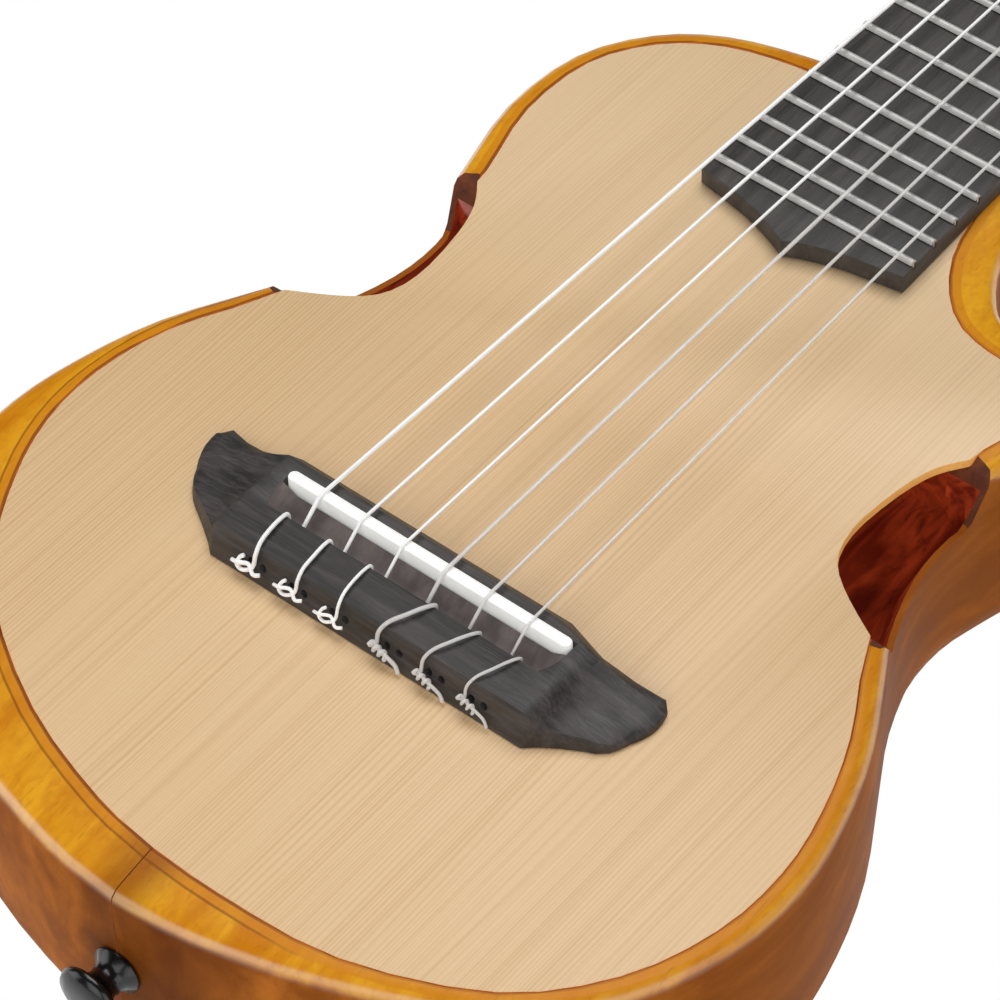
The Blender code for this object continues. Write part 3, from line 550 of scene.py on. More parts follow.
@dataclass(frozen=True)
class DarkWood:
    """Near-black open-grained wood of the bridge, fingerboard and head veneer."""

    name: str
    dark: Colour
    light: Colour
    grain: Grain = Grain.ACROSS
    rough: float = 0.5

    def build(self) -> bpy.types.Material:
        """Make the material.

        Returns:
            Dark wood with paler bands and open pores.
        """
        g = Paint(self.name)
        fine, coarse = self.grain.value
        pores = g.noise(fine, detail=3.0).ramp(0.42, 0.66)
        bands = g.noise(coarse, detail=4.0, warp=0.6).ramp(0.35, 0.72)
        tone = g.blend(bands * 0.55 + pores * 0.35, self.dark, self.light)
        g.bump(pores, 0.10, 0.5)
        return g.finish(tone, self.rough + pores * 0.15, coat=0.05, coat_rough=0.4)


@dataclass(frozen=True)
class PlainWood:
    """Unstained or stained wood with a plain straight grain along the neck."""

    name: str
    low: Colour
    high: Colour
    rough: float = 0.5
    coat: float = 0.0
    glow: float = 0.0

    def build(self) -> bpy.types.Material:
        """Make the material.

        Returns:
            Softly streaked wood with darker pores.
        """
        g = Paint(self.name)
        streak = g.noise((240.0, 10.0, 160.0), detail=4.0, warp=0.3)
        pores = g.noise((1700.0, 120.0, 1300.0), detail=2.0).ramp(0.58, 0.72)
        tone = g.blend(streak.ramp(0.3, 0.7), self.low, self.high)
        tone = g.blend(pores * 0.3, tone, darker(self.low, 0.5))
        g.bump(1.0 - pores, 0.08, 0.3)
        if self.glow:
            g.glow(tone, self.glow)
        return g.finish(tone, self.rough + streak * 0.1, coat=self.coat, coat_rough=0.25)


@dataclass(frozen=True)
class Bone:
    """White saddle and nut with the faintest mottling."""

    name: str = "bone_finish"
    low: Colour = srgb(248, 248, 244)
    high: Colour = srgb(254, 254, 251)

    def build(self) -> bpy.types.Material:
        """Make the material.

        Returns:
            Polished bone.
        """
        g = Paint(self.name)
        cloud = g.noise((160.0, 160.0, 160.0), detail=3.0)
        tone = g.blend(cloud.ramp(0.3, 0.7), self.low, self.high)
        # Painted light: the bone glows a little to stay bright white.
        g.glow(tone, 0.22)
        return g.finish(tone, 0.34 + cloud * 0.08, coat=0.2, coat_rough=0.2)


@dataclass(frozen=True)
class Metal:
    """Metal with fine brushing or a wound wire's ribs."""

    name: str
    colour: Colour
    rough: float
    metallic: float
    brushed: Point = (900.0, 900.0, 900.0)
    coat: float = 0.0
    glow: float = 0.0

    def build(self) -> bpy.types.Material:
        """Make the material.

        Returns:
            Metal with duller patches.
        """
        g = Paint(self.name)
        brush = g.noise(self.brushed, detail=2.0)
        wear_and_painted_highlight = g.noise((60.0, 60.0, 60.0), detail=3.0)
        tone = g.blend(wear_and_painted_highlight.ramp(0.35, 0.7) * 0.35, self.colour, darker(self.colour, 0.72))
        g.bump(brush, 0.02, 0.4)
        if self.glow:
            g.glow(tone, self.glow)
        return g.finish(tone, self.rough + brush * 0.12, metallic=self.metallic, coat=self.coat)


@dataclass(frozen=True)
class Nylon:
    """Clear nylon treble string."""

    name: str = "nylon_finish"
    low: Colour = srgb(244, 240, 236)
    high: Colour = srgb(252, 250, 248)
    alpha: float = 0.6

    def build(self) -> bpy.types.Material:
        """Make the material.

        Returns:
            Half-clear white.
        """
        g = Paint(self.name)
        cloud = g.noise((400.0, 90.0, 400.0), detail=2.0)
        tone = g.blend(cloud, self.low, self.high)
        g.feed(g.shader.inputs["Alpha"], self.alpha)
        return g.finish(tone, 0.3 + cloud * 0.08, coat=0.2)


@dataclass
class Wardrobe:
    """Makes each finish once and hands it out."""

    made: dict[str, bpy.types.Material] = field(default_factory=dict)

    def get(self, finish: Finish) -> bpy.types.Material:
        """Hand out a finish's material, made on first use.

        Args:
            finish: The finish.

        Returns:
            Its material.
        """
        if finish.name not in self.made:
            self.made[finish.name] = finish.build()
        return self.made[finish.name]


def body_of(node: str) -> str:
    """Find the CAD body that a node belongs to.

    Args:
        node: Name of the node.

    Returns:
        Name of its body.
    """
    for body, nodes in frame["record"]["behaviour"]["bodies"].items():
        if node in nodes:
            return body
    raise KeyError(node)


@dataclass
class Copied:
    """A CAD node's own shape, merged and smooth-shaded, which replaces the node.

    Angles are degrees: edges sharper than sharp stay hard, and faces flatter than flatten join.
    """

    node: str
    sharp: float = 32.0
    bevel: float = 0.0
    flatten: float = 0.4
    shape: "Callable[[bmesh.types.BMesh], None] | None" = None

    def build(self, materials: list) -> bpy.types.Object:
        """Copy, merge and shade the node's mesh.

        Args:
            materials: Material slots of the copy.

        Returns:
            The new object, riding with the node's body.
        """
        sharp = math.radians(self.sharp)
        mesh = bmesh.new()
        mesh.from_mesh(frame["nodes"][self.node].data)
        bmesh.ops.remove_doubles(mesh, verts=mesh.verts[:], dist=WELD * MM)
        if self.flatten:
            bmesh.ops.dissolve_limit(mesh, angle_limit=math.radians(self.flatten),
                                     verts=mesh.verts[:], edges=mesh.edges[:])
        if self.shape:
            self.shape(mesh)
        if self.bevel:
            hard = [e for e in mesh.edges
                    if len(e.link_faces) == 2 and e.calc_face_angle() > sharp]
            bmesh.ops.bevel(mesh, geom=hard, offset=self.bevel * MM, segments=2, profile=0.5,
                            affect="EDGES", material=-1, clamp_overlap=True)
        for face in mesh.faces:
            face.smooth = True
        for edge in mesh.edges:
            edge.smooth = len(edge.link_faces) == 2 and edge.calc_face_angle() < sharp
        data = bpy.data.meshes.new(f"{self.node}_dressed")
        mesh.to_mesh(data)
        mesh.free()
        obj = bpy.data.objects.new(f"{self.node}_dressed", data)
        bpy.context.scene.collection.objects.link(obj)
        for material in materials:
            data.materials.append(material)
        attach(obj, body_of(self.node))
        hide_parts(self.node)
        LOG.info("%s dressed", self.node)
        return obj


@dataclass
class Body:
    """Two carved halves and the spruce soundboard let into them.

    Faces are told apart by their places and by how far their normals point across and up.
    """

    hollow_middle: Point = (0.0, 20.0, -30.0)
    hollow_top: float = -3.4
    port_out: float = 55.0
    port_y: Span = (44.0, 104.0)
    port_z: Span = (-16.5, -0.4)
    lip_z: float = -13.6
    seam_half: float = 0.4
    seat_reach: float = 0.6
    seat_z: Span = (-3.2, 0.0)
    edge_depth: float = 0.1
    edge_up: float = 0.8
    ramp_across: float = 0.02
    ramp_up: float = 0.1

    def build(self, wardrobe: Wardrobe) -> None:
        """Dress the halves, inside and out, and the soundboard.

        Args:
            wardrobe: Source of the finishes.
        """
        edge = self.board_edge()
        # Seat finish: glows a little, painted light in the narrow seat by the soundboard.
        seat = wardrobe.get(PlainWood("seat_finish", srgb(170, 92, 26), srgb(196, 116, 40),
                                      rough=0.7, glow=0.35))
        # Ports' cut faces: dark brown, partly the cut wood and partly painted shade at the ports'
        # ends.
        cut = wardrobe.get(PlainWood("cut_edge_finish", srgb(84, 36, 14), srgb(122, 60, 26),
                                     rough=0.75))
        # Seam finish: lighter and glowing, painted light that lifts the shade in the gap between
        # halves.
        seam = wardrobe.get(PlainWood("seam_finish", srgb(110, 58, 26), srgb(136, 76, 34),
                                      rough=0.7, glow=0.45))
        finishes = [wardrobe.get(AmberWood()), wardrobe.get(InnerWood()), seat, cut, seam]
        for node in ("body_half_bass", "body_half_treble"):
            half = Copied(node, sharp=38.0, flatten=0.0).build(finishes)
            self.note_rim(half, edge)
            self.mark_inside(half)
            self.mark_seat(half)
        # Painted highlight: the soundboard's edge in the waist ports is light amber and glows,
        # though it lies in shade.
        bare = PlainWood("waist_edge_finish", srgb(208, 142, 62), srgb(226, 166, 84), glow=0.3)
        board = Copied("soundboard", sharp=40.0, bevel=0.25).build(
            [wardrobe.get(SpruceTop()), wardrobe.get(bare), seat])
        self.mark_board_edge(board)

    def board_edge(self) -> list[tuple[Vector, Vector]]:
        """Trace the soundboard's outline.

        Returns:
            Its segments in plan, in the frame's metres.
        """
        mesh = bmesh.new()
        mesh.from_mesh(frame["nodes"]["soundboard"].data)
        level = max(vertex.co.z for vertex in mesh.verts) - self.edge_depth * MM
        lips = [e for e in mesh.edges if all(v.co.z > level for v in e.verts)
                and any(abs(f.normal.z) < WALL_UP for f in e.link_faces)]
        edge = [(e.verts[0].co.xy.copy(), e.verts[1].co.xy.copy()) for e in lips]
        mesh.free()
        return edge

    def note_rim(self, half: bpy.types.Object, edge: list) -> None:
        """Store the plan distance from the soundboard's edge and how far each corner faces up.

        Args:
            half: Dressed half.
            edge: Segments of the soundboard's outline.
        """
        rim = half.data.attributes.new("rim", "FLOAT", "POINT")
        up = half.data.attributes.new("face_up", "FLOAT", "CORNER")
        for vertex in half.data.vertices:
            spot = vertex.co.xy
            least = 1.0
            for start, end in edge:
                run = end - start
                share = min(max((spot - start).dot(run) / run.length_squared, 0.0), 1.0)
                least = min(least, (spot - start - run * share).length_squared)
            rim.data[vertex.index].value = math.sqrt(least) / MM
        for corner, normal in zip(up.data, half.data.corner_normals):
            corner.value = normal.vector.z

    def mark_inside(self, half: bpy.types.Object) -> None:
        """Give the hollow's faces the inner finish, and the seam and the ports' edges theirs.

        Args:
            half: Dressed half, with its rim noted.
        """
        middle = PLAN.place(*self.hollow_middle)
        up = half.data.attributes["face_up"].data
        for face in half.data.polygons:
            x, y, z = PLAN.read(face.center)
            inward = (middle - face.center).dot(face.normal) > 0.0
            port = abs(x) > self.port_out and self.port_y[0] < y < self.port_y[1]
            cut = (port and self.port_z[0] < z < self.port_z[1]
                   and abs(face.normal.x) < self.ramp_across and face.normal.z > self.ramp_up)
            if abs(x) < self.seam_half:
                face.material_index = HalfFace.SEAM
            # Low port faces read as sides, so they take the sides' browner tone, partly painted
            # shade.
            elif cut and z < self.lip_z:
                for corner in face.loop_indices:
                    up[corner].value = 0.0
            elif cut:
                face.material_index = HalfFace.CUT
            elif inward and z < self.hollow_top:
                face.material_index = HalfFace.HOLLOW

    def mark_seat(self, half: bpy.types.Object) -> None:
        """Give the narrow seat wall beside the soundboard its glue-line finish, which glows as
        painted light.

        Args:
            half: Dressed half, with its rim noted.
        """
        rim = half.data.attributes["rim"].data
        for face in half.data.polygons:
            near = max(rim[i].value for i in face.vertices) < self.seat_reach
            level = self.seat_z[0] < PLAN.read(face.center)[2] < self.seat_z[1]
            if near and level and abs(face.normal.z) < WALL_UP:
                face.material_index = HalfFace.SEAT

    def mark_board_edge(self, board: bpy.types.Object) -> None:
        """Give the soundboard's edge the seat's finish, and glowing amber, a painted highlight,
        where a waist port bares it.

        Args:
            board: Dressed soundboard.
        """
        for face in board.data.polygons:
            x, y, _ = PLAN.read(face.center)
            bare = abs(x) > self.port_out and self.port_y[0] < y < self.port_y[1]
            if abs(face.normal.z) < self.edge_up:
                face.material_index = BoardFace.BARE_EDGE if bare else BoardFace.SEAT


@dataclass
class Bridge:
    """Bridge with scooped wings, a high block and a trough before the tie block.

    The rows front, rear, push_bass and push_treble give the wing's outline, and how far it is
    drawn out at its front and its rear, at each of the stations from the middle to the tip.
    The bulge and the corner push the tip outwards, on the bass side and on the treble side.
    """

    stations: tuple = (32.0, 43.0, 45.4, 49.4, 54.0, 56.2, 58.4, 59.5, 60.6)
    front: tuple = (8.0, 8.0, 6.9, 5.7, 4.9, 4.35, 3.8, 2.6, 1.4)
    rear: tuple = (-23.3, -23.3, -21.2, -18.4, -15.8, -14.6, -13.4, -11.3, -9.2)
    push_bass: tuple = ((0.0, 0.0, -0.4, -1.3, -1.0, -0.3, 0.9, 1.9, 2.6),
                        (0.0, 0.0, 0.0, 0.0, 0.3, 0.6, 1.7, 1.2, 1.3))
    push_treble: tuple = ((0.0, -3.4, -3.1, -2.3, -1.4, -0.8, -0.1, 0.7, 1.5),
                          (0.0, 0.0, 0.0, 0.0, 0.0, -0.2, 0.5, 0.4, 1.2))
    strips: tuple = (-13.0, -11.0, -9.0, -7.0, -5.0, -3.0, -1.0, 0.6)
    crossings: tuple = (-59.5, -56.2, 56.2, 59.5)
    strips_from: float = 50.0
    tip_start: float = 54.0
    tip_run: float = 6.6
    tip_growth: float = 1.5
    bulge: Span = (1.4, 1.3)
    corner: Span = (2.3, 0.0)
    block_x: float = 45.0
    block_y: float = 3.0
    end_x: Span = (40.0, 48.0)
    end_depth: float = 0.4
    crease: float = 2.4
    trough_x: float = 41.0
    trough_y: Span = (TIE_FRONT, -2.7)
    trough_z: Span = (2.4, 8.7)
    trough_up: float = 0.1

    def build(self, wardrobe: Wardrobe) -> None:
        """Dress the bridge and give its trough a lighter, browner, glowing finish: painted light.

        Args:
            wardrobe: Source of the finishes.
        """
        dark = wardrobe.get(DarkWood("bridge_finish", srgb(40, 37, 36), srgb(86, 79, 77)))
        bridge = Copied("bridge", sharp=46.0, bevel=0.3, shape=self.round_wings).build([dark])
        # Painted light: the trough is lighter than the bridge and glows, against the saddle's
        # shade.
        bridge.data.materials.append(wardrobe.get(PlainWood(
            "trough_finish", srgb(74, 66, 64), srgb(104, 94, 91), rough=0.6, glow=0.3)))
        for face in bridge.data.polygons:
            x, y, z = PLAN.read(face.center)
            if (abs(x) < self.trough_x and self.trough_y[0] < y < self.trough_y[1]
                    and self.trough_z[0] < z < self.trough_z[1]
                    and face.normal.z > self.trough_up):
                face.material_index = BridgeFace.TROUGH

    def follow(self, row: tuple, x: float) -> float:
        """Read a row of the wing's outline at a distance from the bridge's middle.

        Args:
            row: Values at the stations.
            x: Distance from the middle.

        Returns:
            The value between the two nearest stations.
        """
        for at, after, low, high in zip(self.stations, self.stations[1:], row, row[1:]):
            if x <= after:
                return low + (high - low) * max(x - at, 0.0) / (after - at)
        return row[-1]

    def cut_strips(self, mesh: bmesh.types.BMesh) -> None:
        """Cut the wing tips into strips, and the whole bridge at its first station.

        Args:
            mesh: The bridge.
        """
        cuts = [((0.0, y, 0.0), (0.0, 1.0, 0.0), self.strips_from) for y in self.strips]
        cuts += [((x, 0.0, 0.0), (1.0, 0.0, 0.0), self.strips_from) for x in self.crossings]
        cuts.append(((self.stations[0], 0.0, 0.0), (1.0, 0.0, 0.0), 0.0))
        for at, way, inner in cuts:
            tips = [f for f in mesh.faces if abs(f.calc_center_median().x) >= inner * MM]
            around = {part for f in tips for part in (*f.verts, *f.edges)}
            bmesh.ops.bisect_plane(mesh, geom=tips + list(around), plane_co=PLAN.place(*at),
                                   plane_no=way)

    def round_wings(self, mesh: bmesh.types.BMesh) -> None:
        """Draw the outline of the bridge's wing tips out to a smooth paddle.

        A point's share runs from 0 at the rear edge to 1 at the front, and its belly is a
        parabola that is fullest halfway.

        Args:
            mesh: The bridge.
        """
        self.cut_strips(mesh)
        for vertex in mesh.verts:
            side, y, _ = PLAN.read(vertex.co)
            x, treble = abs(side), side > 0.0
            if x <= self.stations[0] or (x < self.block_x and y < self.block_y):
                continue
            ahead, behind = self.push_treble if treble else self.push_bass
            front, rear = self.follow(self.front, x), self.follow(self.rear, x)
            share = min(max((y - rear) / (front - rear), 0.0), 1.0)
            tip = min(max((x - self.tip_start) / self.tip_run, 0.0), 1.0) ** self.tip_growth
            belly = 4.0 * share * (1.0 - share)
            out = (self.bulge[treble] * belly + self.corner[treble] * share) * tip
            vertex.co.y += (share * self.follow(ahead, x)
                            + (1.0 - share) * self.follow(behind, x)) * MM
            vertex.co.x += out * MM if treble else -out * MM
        self.soften_end(mesh)

    def soften_end(self, mesh: bmesh.types.BMesh) -> None:
        """Ease the crease where the block's top falls to the treble wing.

        Its edges run from the bridge's rear to its front rather than along it.

        Args:
            mesh: The bridge.
        """
        top = max(vertex.co.z for vertex in mesh.verts) - self.end_depth * MM
        start, end = (x * MM for x in self.end_x)
        ends = [e for e in mesh.edges
                if all(v.co.z > top and start < v.co.x < end for v in e.verts)
                and abs(e.verts[0].co.x - e.verts[1].co.x) < 0.5 * e.calc_length()]
        bmesh.ops.bevel(mesh, geom=ends, offset=self.crease * MM, segments=4, profile=0.5,
                        affect="EDGES", material=-1, clamp_overlap=True)


@dataclass
class Woodwork:
    """Saddle, nut, neck, fingerboard, head veneer and braces."""

    def build(self, wardrobe: Wardrobe) -> None:
        """Dress each wooden or bone piece.

        Args:
            wardrobe: Source of the finishes.
        """
        board = DarkWood("fingerboard_finish", srgb(50, 47, 45), srgb(84, 79, 76),
                         grain=Grain.ALONG, rough=0.55)
        neck = PlainWood("neck_finish", srgb(104, 52, 26), srgb(146, 82, 44), coat=0.3)
        brace = PlainWood("brace_finish", srgb(190, 156, 112), srgb(222, 192, 148), rough=0.65)
        for node, finish, bevel in (
                ("fingerboard", board, 0.2), ("saddle", Bone(), 0.5), ("nut", Bone(), 0.3),
                ("neck", neck, 0.0), ("headstock_overlay", board, 0.3),
                ("brace_upper", brace, 0.3), ("brace_lower", brace, 0.3),
                ("bridge_plate", brace, 0.3)):
            Copied(node, bevel=bevel).build([wardrobe.get(finish)])


@dataclass
class Metalwork:
    """Frets, strap button, machines and their plates."""

    frets: int = 20

    def build(self, wardrobe: Wardrobe) -> None:
        """Dress each metal piece.

        Args:
            wardrobe: Source of the finishes.
        """
        fret = Metal("fret_finish", srgb(206, 204, 201), rough=0.5, metallic=0.6,
                     brushed=(300.0, 90.0, 300.0))
        black = Metal("black_metal_finish", srgb(30, 30, 31), rough=0.3, metallic=0.6, coat=0.4)
        gloss = Metal("black_gloss_finish", srgb(13, 13, 14), rough=0.2, metallic=0.0, coat=0.15)
        for number in range(1, self.frets + 1):
            Copied(f"fret_{number:02d}", sharp=50.0).build([wardrobe.get(fret)])
        Copied("strap_button", sharp=55.0).build([wardrobe.get(gloss)])
        for side in ("bass", "treble"):
            Copied(f"tuner_plate_{side}").build([wardrobe.get(black)])
        for index in range(1, 7):
            for part in ("tuner_key", "tuner_post", "post_bushing"):
                Copied(f"{part}_{index}", sharp=40.0).build([wardrobe.get(black)])


def smooth_path(points: list, steps: int = 5) -> list[Vector]:
    """Curve through points, with a few stations per stretch.

    Args:
        points: Luthier's millimetres.
        steps: Stations per stretch.

    Returns:
        Stations in the frame's metres.
    """
    rows = [PLAN.place(*point) for point in points]
    rows = [rows[0] * 2 - rows[1]] + rows + [rows[-1] * 2 - rows[-2]]
    path = []
    for a, b, c, d in zip(rows, rows[1:], rows[2:], rows[3:]):
        for k in range(steps):
            t = k / steps
            path.append(0.5 * (2 * b + (c - a) * t + (2 * a - 5 * b + 4 * c - d) * t * t
                               + (3 * b - a - 3 * c + d) * t ** 3))
    path.append(rows[-2])
    return path


def add_tube(mesh: bmesh.types.BMesh, path: list[Vector], radius: float, sides: int = 10) -> None:
    """Sweep a round section along a path, with both ends closed.

    Args:
        mesh: Mesh that receives the tube.
        path: Stations in metres.
        radius: Radius in metres.
        sides: Corners of the section.
    """
    ways = [(path[min(i + 1, len(path) - 1)] - path[max(i - 1, 0)]).normalized()
            for i in range(len(path))]
    turn = ways[0].to_track_quat("Z", "Y")
    first = bmesh.ops.create_circle(
        mesh, cap_ends=True, segments=sides, radius=radius,
        matrix=Matrix.Translation(path[0]) @ turn.to_matrix().to_4x4())
    ring = first["verts"]
    edges = list({edge for vertex in ring for edge in vertex.link_edges})
    for before, at, old_way, way in zip(path, path[1:], ways, ways[1:]):
        made = bmesh.ops.extrude_edge_only(mesh, edges=edges)["geom"]
        ring = [item for item in made if isinstance(item, bmesh.types.BMVert)]
        edges = [item for item in made if isinstance(item, bmesh.types.BMEdge)
                 and all(v in ring for v in item.verts)]
        step = old_way.rotation_difference(way).to_matrix().to_4x4()
        bmesh.ops.transform(mesh, verts=ring, matrix=(
            Matrix.Translation(at) @ step @ Matrix.Translation(-before)))
    bmesh.ops.contextual_create(mesh, geom=edges)


@dataclass(frozen=True)
class Tie:
    """How one string is tied: where its loop lies on the tie block and its knot behind it.

    The points' lists are the route, given point by point. Rear points are told by their steps
    from the knot, across, up and off the block's rear face.
    """

    front_x: float
    middle_x: float
    rear_x: float
    knot_z: float
    radius: float
    knot: Knot

    front_y: float = TIE_FRONT
    rear_y: float = -20.7
    top: float = 8.8
    lean: float = 0.32
    loop_over: float = 0.15
    turns: float = 3.0
    stops: int = 24
    coil_across: float = 4.6
    coil_drop: float = 1.1
    coil_high: float = 0.62
    coil_off: float = 0.55

    def behind(self, x: float, z: float, off: float = 0.7) -> Point:
        """Point on the tie block's leaning rear face, a little off it."""
        return x, self.rear_y - off - self.lean * (self.top - z), z

    def from_knot(self, steps: tuple) -> list[Point]:
        """Points on the rear face, told by their steps from the knot."""
        return [self.behind(self.rear_x + dx, self.knot_z + dz, off) for dx, dz, off in steps]

    def loop(self) -> list[Point]:
        """Lay the loop from the hole's front over the block and down to the knot.

        Returns:
            Points of its centre line.
        """
        over = self.top + self.radius + self.loop_over
        fx, mx, rx = self.front_x, self.middle_x, self.rear_x
        run = self.rear_y - self.front_y
        return [(fx, self.front_y + 0.6, 5.4), (fx, self.front_y + 0.7, 7.6),
                (fx, self.front_y + 0.1, over - 0.1),
                (fx + (mx - fx) * 0.42, self.front_y + run * 0.25, over + 0.6),
                (mx, self.front_y + run * 0.58, over + 0.65),
                (mx + (rx - mx) * 0.62, self.front_y + run * 0.90, over + 0.15),
                self.behind(rx, self.top - 1.3), self.behind(rx, self.knot_z)]

    def coil(self) -> list[Point]:
        """Wind the string round itself behind the block.

        Returns:
            Points of its turns.
        """
        points = []
        for stop in range(self.stops + 1):
            share = stop / self.stops
            angle = math.tau * self.turns * share
            points.append(self.behind(
                self.rear_x - 1.1 + self.coil_across * share,
                self.knot_z + 0.2 - self.coil_drop * share + self.coil_high * math.sin(angle),
                1.35 + self.coil_off * math.cos(angle)))
        return points

    def strands(self) -> list[list[Point]]:
        """Lay out the loop, the knot and its tails.

        Returns:
            Points of each strand's centre line.
        """
        if self.knot is Knot.BOW:
            eye = self.from_knot(((-0.6, -1.4, 0.9), (-2.6, -2.3, 1.2), (-4.2, -1.8, 1.0),
                                  (-3.9, -0.3, 0.7), (-3.0, 0.7, 0.7)))
            end = self.from_knot(((-5.8, -1.9, 0.7), (-3.7, -0.8, 1.6), (-1.3, -0.6, 0.8),
                                  (0.7, -1.6, 1.5), (2.2, -1.5, 0.9)))
            return [self.loop() + eye, end]
        coil = self.coil()
        tail = self.from_knot(((-0.6, 0.2, 0.7), (1.6, -0.4, 1.2), (4.0, -1.0, 1.2),
                               (5.9, -1.9, 1.0), (7.0, max(-3.4, 0.9 - self.knot_z), 0.9)))
        return [self.loop() + coil[:1], coil, tail]


@dataclass
class Strings:
    """Three wound bass strings and three clear trebles, tied behind the bridge."""

    plain: int = 3
    ties: tuple[Tie, ...] = (
        Tie(32.4, 30.2, 27.6, 4.6, 0.36, Knot.COIL), Tie(21.3, 18.6, 15.8, 4.1, 0.42, Knot.COIL),
        Tie(9.2, 6.6, 3.6, 4.3, 0.50, Knot.COIL), Tie(-8.6, -8.2, -7.6, 4.9, 0.38, Knot.BOW),
        Tie(-19.9, -19.3, -19.0, 5.3, 0.43, Knot.BOW),
        Tie(-32.0, -31.5, -30.8, 5.1, 0.50, Knot.BOW),
    )

    def build(self, wardrobe: Wardrobe) -> None:
        """Dress the strings.

        Args:
            wardrobe: Source of the finishes.
        """
        # Painted light: the wound strings glow a little to read whiter.
        wound = Metal("wound_finish", srgb(254, 253, 252), rough=0.45, metallic=0.1,
                      brushed=(900.0, 5200.0, 900.0), glow=0.12)
        for number, tie in enumerate(self.ties, 1):
            finish = Nylon() if number <= self.plain else wound
            string = Copied(f"string_{number}", sharp=70.0).build([wardrobe.get(finish)])
            self.tie_again(string, tie)

    def tie_again(self, string: bpy.types.Object, tie: Tie) -> None:
        """Swap the plain loop at the tie block for a soft loop and its knot.

        Args:
            string: Dressed string.
            tie: How it is tied.
        """
        mesh = bmesh.new()
        mesh.from_mesh(string.data)
        cut = PLAN.place(0.0, TIE_FRONT, 0.0)
        made = bmesh.ops.bisect_plane(mesh, geom=mesh.verts[:] + mesh.edges[:] + mesh.faces[:],
                                      plane_co=cut, plane_no=(0.0, 1.0, 0.0), clear_inner=True)
        rims = [e for e in made["geom_cut"] if isinstance(e, bmesh.types.BMEdge)]
        bmesh.ops.holes_fill(mesh, edges=rims)
        far = max(mesh.verts, key=lambda vertex: vertex.co.y)
        kept, front = {far}, [far]
        while front:
            for edge in front.pop().link_edges:
                for vertex in edge.verts:
                    if vertex not in kept:
                        kept.add(vertex)
                        front.append(vertex)
        bmesh.ops.delete(mesh, geom=[v for v in mesh.verts if v not in kept], context="VERTS")
        for strand in tie.strands():
            add_tube(mesh, smooth_path(strand), tie.radius * MM)
        for face in mesh.faces:
            face.smooth = True
        mesh.to_mesh(string.data)
        mesh.free()


@dataclass(frozen=True)
class Lamp:
    """A square soft lamp: its place and the point it faces, its side in metres, its power."""

    name: str
    at: Point
    aim: Point
    side: float
    watts: float

    def build(self) -> None:
        """Hang the lamp."""
        data = bpy.data.lights.new(self.name, "AREA")
        data.size = self.side
        data.energy = self.watts
        lamp = bpy.data.objects.new(self.name, data)
        start, end = PLAN.place(*self.at), PLAN.place(*self.aim)
        lamp.matrix_world = (Matrix.Translation(start)
                             @ (end - start).to_track_quat("-Z", "Y").to_matrix().to_4x4())
        bpy.context.scene.collection.objects.link(lamp)


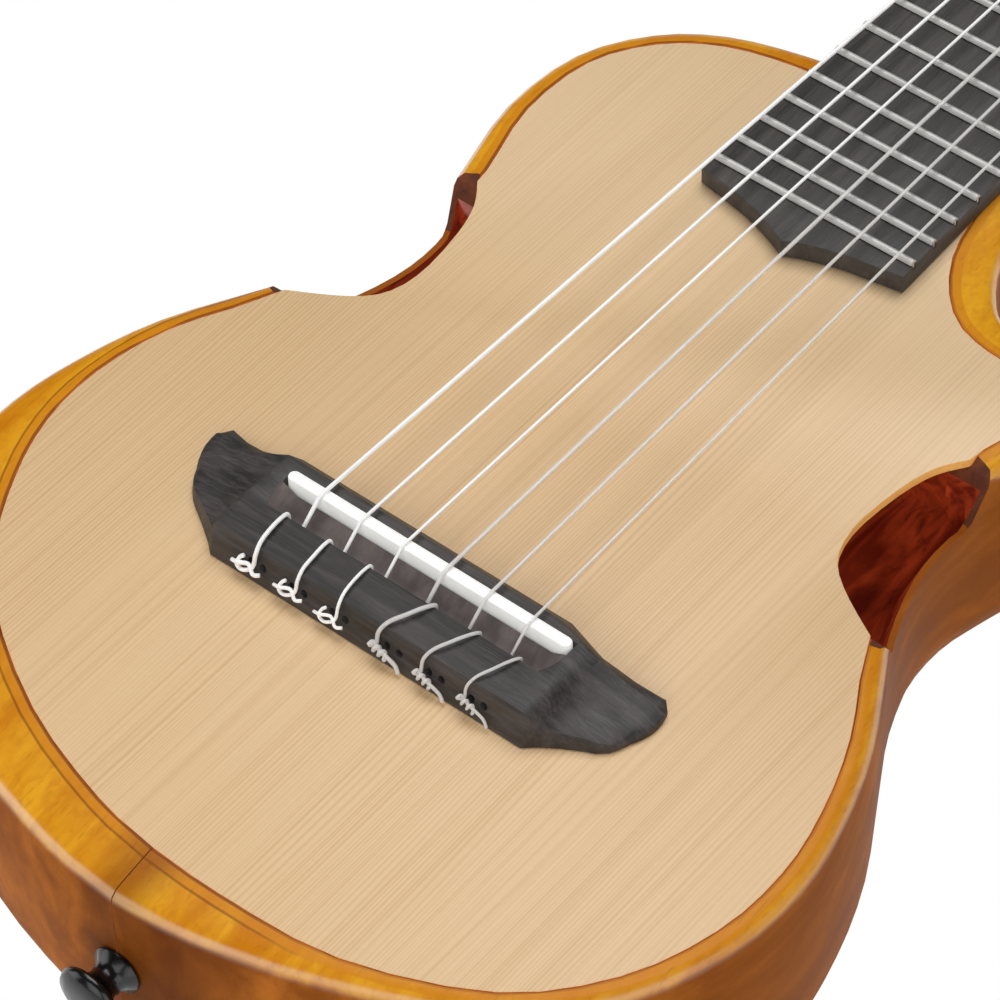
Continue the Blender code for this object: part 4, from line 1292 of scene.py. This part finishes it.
@dataclass
class Studio:
    """White floor and backdrop, soft lamps and the photograph's camera.

    The lens is in pixels of the photograph, as the camera was solved, and the rows are the
    camera's right, down and ahead in the luthier's axes. The sight and the floor's half width
    are metres.
    """

    lens_px: float = 4874.8
    photo_px: float = 1000.0
    eye: Point = (447.5, -506.9, 799.1)
    rows: tuple[Point, ...] = ((0.7762, 0.6303, -0.0167), (0.4658, -0.5911, -0.6585),
                               (-0.4249, 0.5034, -0.7524))
    sensor: float = 36.0
    sight: float = 50.0
    floor_half: float = 6.0
    floor_under: float = 0.5
    floor_bounce: float = 0.82
    world_light: float = 0.031
    lamps: tuple[Lamp, ...] = (
        Lamp("key", (-300.0, 900.0, 2500.0), (0.0, 80.0, 0.0), 2.0, 52.0),
        Lamp("fill", (350.0, -1500.0, 800.0), (0.0, 0.0, -20.0), 1.4, 11.5),
        Lamp("side", (-1500.0, -900.0, 420.0), (0.0, 0.0, 0.0), 1.3, 9.5),
        Lamp("warm", (1600.0, -500.0, 420.0), (60.0, 0.0, -20.0), 1.3, 8.0),
    )

    def camera(self) -> None:
        """Place the camera that was solved from the frets, the strings and the bridge."""
        data = bpy.data.cameras.new("camera")
        data.sensor_width = self.sensor
        data.lens = self.lens_px / self.photo_px * self.sensor
        data.clip_end = self.sight
        camera = bpy.data.objects.new("camera", data)
        right, down, ahead = (Vector(row).normalized() for row in self.rows)
        turn = Matrix((right, -down, -ahead)).transposed().to_4x4()
        camera.matrix_world = Matrix.Translation(PLAN.place(*self.eye)) @ turn
        bpy.context.scene.collection.objects.link(camera)
        bpy.context.scene.camera = camera

    def floor_white(self) -> bpy.types.Material:
        """Make a white that shows no shadow to the camera, yet bounces the lamps' light.

        Returns:
            The floor's material.
        """
        g = Graph(bpy.data.materials.new("floor_white"))
        g.tree.nodes.clear()
        path = g.node("ShaderNodeLightPath")
        bounce = (self.floor_bounce,) * 3 + (1.0,)
        plain = g.node("ShaderNodeBsdfDiffuse", inputs={"Color": bounce})
        mirrored = Value(g, path.outputs["Is Glossy Ray"]).most(
            Value(g, path.outputs["Is Transmission Ray"]))
        seen = Value(g, path.outputs["Is Camera Ray"]).most(mirrored)
        mix = g.node("ShaderNodeMixShader", inputs={
            0: seen, 1: plain.outputs[0], 2: g.node("ShaderNodeEmission").outputs[0]})
        g.node("ShaderNodeOutputMaterial", inputs={"Surface": mix.outputs[0]})
        return g.owner

    def floor(self) -> None:
        """Lay a wide floor under the back."""
        mesh = bmesh.new()
        bmesh.ops.create_grid(mesh, x_segments=1, y_segments=1, size=self.floor_half)
        bmesh.ops.translate(mesh, verts=mesh.verts[:], vec=(0.0, 0.0, -self.floor_under * MM))
        data = bpy.data.meshes.new("floor")
        mesh.to_mesh(data)
        mesh.free()
        data.materials.append(self.floor_white())
        floor = bpy.data.objects.new("floor", data)
        bpy.context.scene.collection.objects.link(floor)

    def world(self) -> None:
        """Set an even surround that is white to the camera and faint as a light."""
        g = Graph(bpy.data.worlds.new("studio_white"))
        path = g.node("ShaderNodeLightPath")
        seen = Value(g, path.outputs["Is Camera Ray"]).most(
            Value(g, path.outputs["Is Transmission Ray"]))
        level = g.node("ShaderNodeMapRange", inputs={
            "Value": seen, "To Min": self.world_light, "To Max": 1.0})
        back = g.tree.nodes["Background"]
        g.feed(back.inputs["Color"], (1.0, 1.0, 1.0, 1.0))
        g.feed(back.inputs["Strength"], level.outputs[0])
        bpy.context.scene.world = g.owner

    def build(self) -> None:
        """Set the whole stage."""
        bpy.context.scene.view_settings.view_transform = "Standard"
        self.world()
        self.floor()
        for lamp in self.lamps:
            lamp.build()
        self.camera()
        LOG.info("studio set")


def main() -> None:
    """Dress every piece and set the studio."""
    logging.basicConfig(level=logging.INFO, format="%(message)s")
    wardrobe = Wardrobe()
    for part in (Body(), Bridge(), Woodwork(), Metalwork(), Strings()):
        part.build(wardrobe)
    Studio().build()


if __name__ == "__main__":
    main()
